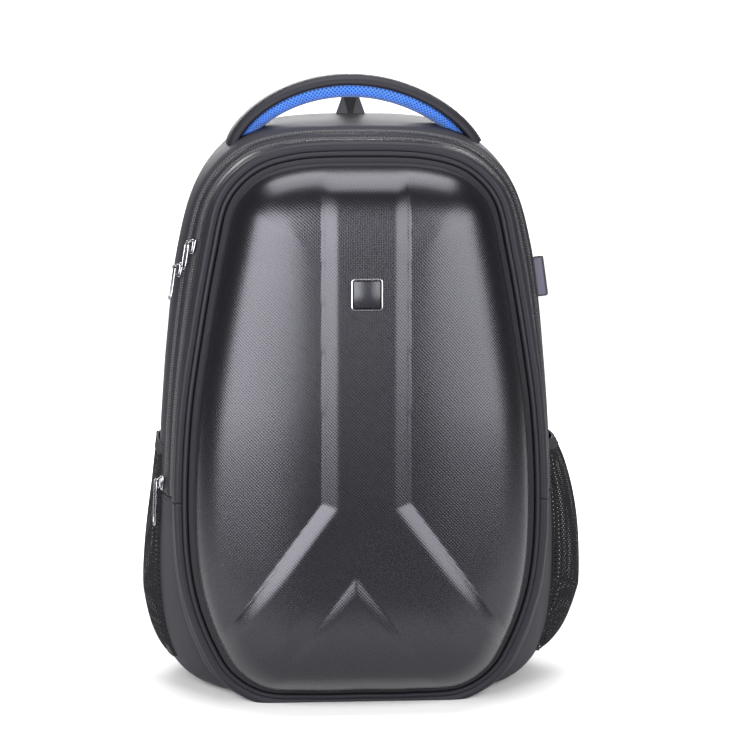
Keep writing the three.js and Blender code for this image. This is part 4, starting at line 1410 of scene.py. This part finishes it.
class BACKPACK_OT_handle(bpy.types.Operator):
    """Carrying handle: cloth cover above, knitted blue grip below"""
    bl_idname = "backpack.handle"
    bl_label = "Handle"

    def execute(self, context):
        skin = Skin(context.scene)
        size, trim = skin.size, values(context.scene.backpack_trim)

        def arch(angle):
            foot = size.body_height - trim.handle_sink
            tall = trim.handle_rise + trim.handle_sink
            return Vector((skin.x + trim.handle_spread * math.cos(angle) + trim.handle_lean * math.sin(angle),
                           skin.y + trim.handle_depth, foot + tall * max(0.0, math.sin(angle)) ** 1.4))

        def normal_at(angle):
            run = (arch(angle + 0.01) - arch(angle - 0.01)).normalized()
            return Vector((run.z, 0, -run.x))

        def end_at(angle):
            return abs(angle - math.pi / 2) / (math.pi / 2)

        def bar(low, high, half_at, thick_at, margin, corners):
            points = smooth_section(corners)
            runs = section_girth(points)

            def place(u, v):
                angle = mix(margin, math.pi - margin, u)
                a, b = corner(points, v)
                end = end_at(angle)
                return (arch(angle) + normal_at(angle) * (low + (high - low) * thick_at(end) * b)
                        + Vector((0, a * half_at(end), 0)))

            def lay(u, v):
                return u * 0.24, runs[round(v * len(points))] * 0.016

            return closed(grid(120, len(points), place, lay))

        def cover_half(end):
            return trim.cover_half * (1 + 0.5 * end ** 3)

        top = [(-1, 0.16), (-0.97, 0.55), (-0.66, 0.93), (0, 1), (0.66, 0.93), (0.97, 0.55), (1, 0.16),
               (0.93, 0.02), (0.5, 0), (-0.5, 0), (-0.93, 0.02)]
        bm = bar(0, trim.cover, cover_half, lambda end: 1, 0.1, top)
        for side in (-1, 1):
            def path(part):
                angle = mix(0.34, math.pi - 0.34, part)
                return (arch(angle) + normal_at(angle) * 0.86 * trim.cover
                        + Vector((0, side * 0.78 * cover_half(end_at(angle)), 0)))

            sew(bm, path, lambda part: normal_at(mix(0.34, math.pi - 0.34, part)))
        add_piece("handle_cloth", bm, [band_finish(), thread_finish()], ["handle_cover"])

        under = [(-1, 0.12), (-0.98, 0.5), (-0.72, 0.9), (0, 1.02), (0.72, 0.9), (0.98, 0.5), (1, 0.12),
                 (0.9, 0), (-0.9, 0)]
        bm = bar(-size.gap, -trim.grip, lambda end: trim.grip_half * (1 - 0.12 * end ** 2),
                 lambda end: 1 - 0.45 * end ** 3, 0.3, under)
        blue = knitted("knitted_grip", finishes().grip, 0.0034, "Cloth", 0.0006, 0.04)
        grip = add_piece("grip_padding", bm, [blue], ["handle_grip"])
        return {"FINISHED"}


class BACKPACK_OT_hang_loop(bpy.types.Operator):
    """Webbing loop that stands behind the handle"""
    bl_idname = "backpack.hang_loop"
    bl_label = "Hang Loop"

    def execute(self, context):
        low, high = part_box("hang_loop")
        middle, tall, half = (low + high) / 2, high.z - low.z, (high.x - low.x) / 2
        thin, sunk = 0.0006, 0.003
        section = ((0, -1), (0, 1), (1, 1), (1, -1))
        strips, places = bmesh.new(), []
        for side in (-1, 1):
            def across(up, part):
                bent = clamp(up / 0.62)
                reach = mix(mix(0.97, 0.51, bent), mix(0.12, 0.42, bent), part)
                return Vector((middle.x + side * reach * half, low.y + thin,
                               low.z - sunk + up * (tall + sunk)))

            def place(u, v):
                a, b = corner(section, v)
                return across(u, a) + Vector((0, b * thin, 0))

            join(strips, closed(grid(16, 4, place, lambda u, v: (v * 0.02, u * 0.025))))
            for column in (0.1, 0.9):
                for row in range(9):
                    up = 0.06 + 0.1 * row
                    spot = across(up, column)
                    places.append((spot + Vector((0, -0.0007, 0)), across(up + 0.02, column) - spot,
                                   Vector((0, -1, 0))))
        bm = stitches(strips, places, 0.0015, 0.00022)
        fold = bmesh.new()
        bmesh.ops.create_cube(fold, size=1.0)
        for vert in fold.verts:
            reach = 0.6 if vert.co.z > 0 else 0.2
            vert.co = middle + Vector((math.copysign(reach * half, vert.co.x), vert.co.y * 0.0008 + 0.0004,
                                       vert.co.z * tall * 0.98))
            if vert.co.z < middle.z:
                vert.co.z -= sunk
        for face in fold.faces:
            face.material_index = 2
        join(bm, fold)
        grey = woven("loop_webbing", tone(finishes().webbing, 4.2), 0.0014, 0.7)
        add_piece("hang_webbing", bm, [grey, thread_finish(), webbing_finish()], ["hang_loop"], 40)
        return {"FINISHED"}


class BACKPACK_OT_pockets(bpy.types.Operator):
    """Net side pockets with their elastic hems"""
    bl_idname = "backpack.pockets"
    bl_label = "Side Pockets"

    def execute(self, context):
        skin = Skin(context.scene)
        size, trim = skin.size, values(context.scene.backpack_trim)
        wall, hem = trim.net, trim.hem
        net_paint = netted("pocket_net", finishes().net, 0.0030)
        for side, name, bulge, fullness in ((-1, "left", trim.bulge_left, trim.fullness_left),
                                            (1, "right", trim.bulge_right, trim.fullness_right)):
            def point(height, part, thick):
                deep = skin.gusset_start + 0.005 + trim.pocket_depth * part
                below = clamp((height - trim.pocket_bottom) / (trim.pocket_belly - trim.pocket_bottom))
                above = clamp((height - trim.pocket_belly) / (trim.pocket_top - trim.pocket_belly))
                belly = math.sin(math.pi * part) ** 0.7 * math.sqrt(below) * (1 - 0.85 * above ** fullness)
                turn = skin.turn_at(height, deep, side)
                seam = smoothstep(min(part, 1 - part), 0, 0.06)
                out = mix(-0.0005, size.proud + size.gap + thick, seam)
                return skin.point(turn, deep, out + max(0.0, bulge * belly - wall))

            foot, rim = trim.pocket_bottom, trim.pocket_top - hem
            tall = running([point(mix(foot, rim, i / 40), 0.5, wall) for i in range(41)])[-1]
            wide = running([point(trim.pocket_belly, i / 40, wall) for i in range(41)])[-1]

            def net(u, v):
                pucker = 0.0006 * math.sin(u * math.pi * 14) * smoothstep(v, 0.8, 1.0)
                return point(mix(foot, rim, v), u, wall + pucker * math.sin(math.pi * u))

            bm = grid(60, 110, net, lambda u, v: (u * wide, v * tall))
            facing(bm, Vector((skin.x, skin.y + 0.09, 0.11)))
            piece = add_piece(f"pocket_net_{name}", bm, [net_paint], [f"side_pocket_{name}"])

            section = [(0, 0.2), (0.02, 0.85), (0.12, 1), (0.3, 0.86), (0.5, 1), (0.7, 0.86), (0.88, 1),
                       (0.98, 0.85), (1, 0.2), (0.95, 0), (0.5, 0), (0.05, 0)]

            def band(u, v):
                lift, thick = corner(section, v)
                gathers = 1 + 0.12 * math.sin(u * math.pi * 46)
                return point(rim + hem * lift, u, trim.hem_thickness * thick * gathers)

            bm = closed(grid(150, len(section), band, lambda u, v: (u * 0.08, v * 0.02)))
            add_piece(f"elastic_hem_{name}", bm, [webbing_finish()], [f"pocket_hem_{name}"])
        return {"FINISHED"}


# Hardware

def rounded_square(part, reach):
    """Point on a square of half width reach and the direction out of it. Each corner takes a third
    of its quarter, so that an offset from it is round there."""
    quarter, spot = divmod((part % 1) * 4, 1)
    turn = Matrix.Rotation(-quarter * math.pi / 2, 3, "Y")
    bend = clamp(spot * 3 - 1) * math.pi / 2
    if spot < 1 / 3:
        flat = Vector((reach, 0, reach * 3 * spot))
    elif spot < 2 / 3:
        flat = Vector((reach, 0, reach))
    else:
        flat = Vector((reach * (3 - 3 * spot), 0, reach))
    return turn @ flat, turn @ Vector((math.cos(bend), 0, math.sin(bend)))


class BACKPACK_OT_badge(bpy.types.Operator):
    """Small square badge with a bevelled bright frame and a bare dark plate"""
    bl_idname = "backpack.badge"
    bl_label = "Badge"

    def execute(self, context):
        low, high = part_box("badge_frame")
        centre, half, thick = (low + high) / 2, (high.x - low.x) / 2, high.y - low.y
        fittings = context.scene.backpack_fittings
        profile = [(0, 0), (0, 0.7), (0.12, 0.93), (0.32, 1), (0.62, 1), (0.86, 0.8), (1, 0.45), (1, 0)]

        def place(u, v):
            inset, lift = corner(profile, v)
            flat, away = rounded_square(u, half - fittings.badge_corner)
            flat += away * (fittings.badge_corner - inset * fittings.badge_rim)
            return centre + flat + Vector((0, thick * (0.5 - lift * 1.1), 0))

        bm = closed(grid(64, len(profile), place))
        add_piece("badge_surround", bm, [steel_finish()], ["badge_frame"], 50)

        low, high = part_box("badge_plate")
        side = high.x - low.x
        bm = rounded_box((side, high.y - low.y, side), 0.0005, 2, (low + high) / 2 + Vector((0, -0.0004, 0)))
        plate = brushed_plate("badge_enamel", finishes().plate_low, finishes().plate_high)
        add_piece("badge_face", bm, [plate], ["badge_plate"], 30)
        return {"FINISHED"}


def wire_pull(wide, tall, wire):
    """Long loop of wire that hangs from the origin in the XZ plane."""
    straight = (tall - wide) / 2
    knots = []
    for i in range(24):
        angle = 2 * math.pi * (i + 0.5) / 24
        low = 0 if math.sin(angle) > 0 else 2 * straight
        knots.append(Vector((wide / 2 * math.cos(angle), 0, wide / 2 * math.sin(angle) - low)))
    return tube(smooth_path(knots, True), wire / 2, 96, 10, True)


class BACKPACK_OT_sliders(bpy.types.Operator):
    """Zip sliders with bridges and long wire pulls"""
    bl_idname = "backpack.sliders"
    bl_label = "Zip Sliders"

    def execute(self, context):
        skin = Skin(context.scene)
        size = skin.size
        fittings = context.scene.backpack_fittings
        front, main = skin.band_start, skin.mid_band_end + size.gap
        plate = fittings.slider_plate
        for name, height, start, tall in (("front", fittings.front_height, front, fittings.front_pull),
                                          ("main", fittings.main_height, main, fittings.main_pull),
                                          ("low", fittings.low_height, main, fittings.low_pull)):
            seat = skin.seat(-1, height, start + size.zip_width / 2, 2 * plate + 2 * size.gap)
            bm = rounded_box((fittings.slider_width, plate, fittings.slider_tall), 0.0006, 2, (0, 0.00085, 0))
            for vert in bm.verts:
                vert.co.x *= 1 - 0.28 * smoothstep(-vert.co.z, 0.001, 0.006)
            join(bm, rounded_box((0.0050, 0.0012, 0.0085), 0.0005, 2, (0, 0.0020, 0.0004)))

            def bridge(part):
                angle = math.pi * part
                return Vector((0, 0.0022 + 0.0030 * math.sin(angle) ** 0.7, 0.0040 * math.cos(angle)))

            join(bm, tube(bridge, 0.0008, 28, 10))
            bmesh.ops.transform(bm, matrix=seat, verts=bm.verts)
            bmesh.ops.recalc_face_normals(bm, faces=bm.faces)
            add_piece(f"slider_{name}", bm, [steel_finish()], [f"zip_slider_{name}"], 50)

            wire = fittings.pull_wire
            bm = wire_pull(fittings.pull_width, tall, wire)
            hung = seat @ Matrix.Translation((0, 0.0053 + wire / 2, 0))
            bmesh.ops.transform(bm, matrix=hung, verts=bm.verts)
            add_piece(f"wire_pull_{name}", bm, [steel_finish()], [f"zip_pull_{name}"])
        return {"FINISHED"}


class BACKPACK_OT_side_tab(bpy.types.Operator):
    """Small cloth tab with a dark bound edge on the right side"""
    bl_idname = "backpack.side_tab"
    bl_label = "Side Tab"

    def execute(self, context):
        skin = Skin(context.scene)
        fittings = context.scene.backpack_fittings
        reach, thick = fittings.tab_reach, fittings.tab_thickness
        out = skin.size.proud + skin.size.gap + reach / 2
        seat = skin.seat(1, fittings.tab_height, skin.gusset_start + thick, out)
        bm = rounded_box((thick, reach, fittings.tab_tall), 0.0018, 4, along="X")
        faces = [face for face in bm.faces if abs(face.normal.x) > 0.9]
        for face in bm.faces:
            face.material_index = 1
        bmesh.ops.inset_individual(bm, faces=faces, thickness=0.0011, depth=0, use_even_offset=True)
        bmesh.ops.inset_individual(bm, faces=faces, thickness=0.0003, depth=-0.0004, use_even_offset=True)
        for face in faces:
            face.material_index = 0
        bmesh.ops.transform(bm, matrix=seat, verts=bm.verts)
        bmesh.ops.recalc_face_normals(bm, faces=bm.faces)
        tab = coated_cloth("coated_tab", finishes().tab, 0.55)
        bound = moulded("tab_edge", finishes().tab_edge, 0.5)
        add_piece("side_tab_cloth", bm, [tab, bound], ["side_tab"], 35)
        return {"FINISHED"}


# Stage

def aim(thing, target):
    thing.rotation_euler = (Vector(target) - thing.location).to_track_quat("-Z", "Y").to_euler()


def soft_light(name, place, target, wide, tall, power):
    """Rectangular lamp at place, turned to target."""
    light = bpy.data.lights.new(name, "AREA")
    light.shape = "RECTANGLE"
    light.size, light.size_y = wide, tall
    light.energy = power
    lamp = bpy.data.objects.new(name, light)
    lamp.location = place
    bpy.context.scene.collection.objects.link(lamp)
    aim(lamp, target)


class BACKPACK_OT_stage(bpy.types.Operator):
    """Pale floor, soft studio lights and the camera"""
    bl_idname = "backpack.stage"
    bl_label = "Stage"

    def execute(self, context):
        scene = context.scene
        skin = Skin(scene)
        target = Vector((skin.x, skin.y, 0.25))
        yaw, pitch, far = math.radians(4), math.radians(8), 2.2
        lens = bpy.data.cameras.new("view")
        lens.sensor_width = 36
        lens.lens = 36 * far / 0.6
        lens.shift_x, lens.shift_y = 13 / 750, 22 / 750
        lens.clip_end = 60
        camera = bpy.data.objects.new("view", lens)
        towards = (-math.sin(yaw) * math.cos(pitch), -math.cos(yaw) * math.cos(pitch), math.sin(pitch))
        camera.location = target + Vector(towards) * far
        scene.collection.objects.link(camera)
        aim(camera, target)
        scene.camera = camera

        flat = Matrix.Translation((0.3, 2.03, 0)) @ Matrix.Diagonal((1.6, 2.46, 1, 1))
        raised = Matrix.Rotation(math.pi / 2, 4, "X") @ Matrix.Scale(1.6, 4)
        upright = Matrix.Translation((0.3, 4.45, 0.9)) @ raised
        for name, matrix in (("floor", flat), ("backdrop", upright)):
            bm = bmesh.new()
            bmesh.ops.create_grid(bm, x_segments=1, y_segments=1, size=1, matrix=matrix)
            mesh = bpy.data.meshes.new(name)
            bm.to_mesh(mesh)
            bm.free()
            sheet = bpy.data.objects.new(name, mesh)
            scene.collection.objects.link(sheet)
            mesh.materials.append(glowing_paper("studio_paper", finishes().paper))

        world = bpy.data.worlds.new("studio")
        world.use_nodes = True
        background = world.node_tree.nodes["Background"]
        background.inputs["Color"].default_value = (1, 1, 1, 1)
        background.inputs["Strength"].default_value = 0.1
        scene.world = world
        scene.view_settings.view_transform = "Standard"
        soft_light("left_box", (-0.62, -0.98, 0.52), (skin.x, skin.y, 0.52), 1.22, 0.84, 35)
        soft_light("right_box", (0.68, -0.90, 0.53), (skin.x, skin.y, 0.53), 1.05, 0.8, 22)
        soft_light("top_box", (0.0, 0.1, 1.9), (0.0, 0.1, 0.0), 1.8, 1.3, 46)
        soft_light("back_box", (0.0, 1.5, 0.95), (skin.x, 0.0, 0.45), 1.6, 0.35, 22)
        return {"FINISHED"}


class BACKPACK_PT_panel(bpy.types.Panel):
    """Sizes, finishes and builders of the backpack"""
    bl_idname = "BACKPACK_PT_panel"
    bl_label = "Backpack"
    bl_space_type = "VIEW_3D"
    bl_region_type = "UI"
    bl_category = "Backpack"

    def draw(self, context):
        layout = self.layout
        for name, label, group in GROUPS:
            box = layout.box()
            box.label(text=label)
            for key in group.__annotations__:
                box.prop(getattr(context.scene, name), key)
        for operator in BUILDERS:
            layout.operator(operator.bl_idname)


GROUPS = (
    ("backpack_body", "Body", BodySizes),
    ("backpack_shell", "Shell", ShellSizes),
    ("backpack_trim", "Trim", TrimSizes),
    ("backpack_pads", "Pads", PadSizes),
    ("backpack_fittings", "Fittings", FittingSizes),
    ("backpack_finish", "Finishes", Finishes),
)
BUILDERS = (
    BACKPACK_OT_stage,
    BACKPACK_OT_shell,
    BACKPACK_OT_bands,
    BACKPACK_OT_zips,
    BACKPACK_OT_body,
    BACKPACK_OT_back,
    BACKPACK_OT_straps,
    BACKPACK_OT_handle,
    BACKPACK_OT_hang_loop,
    BACKPACK_OT_pockets,
    BACKPACK_OT_badge,
    BACKPACK_OT_sliders,
    BACKPACK_OT_side_tab,
)
CLASSES = tuple(group for _, _, group in GROUPS) + BUILDERS + (BACKPACK_PT_panel,)


def register():
    for item in CLASSES:
        bpy.utils.register_class(item)
    for name, _, group in GROUPS:
        setattr(bpy.types.Scene, name, PointerProperty(type=group))


def unregister():
    for name, _, _ in GROUPS:
        delattr(bpy.types.Scene, name)
    for item in reversed(CLASSES):
        bpy.utils.unregister_class(item)


def main():
    register()
    for operator in BUILDERS:
        group, name = operator.bl_idname.split(".")
        getattr(getattr(bpy.ops, group), name)()
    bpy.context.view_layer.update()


if __name__ == "__main__":
    main()
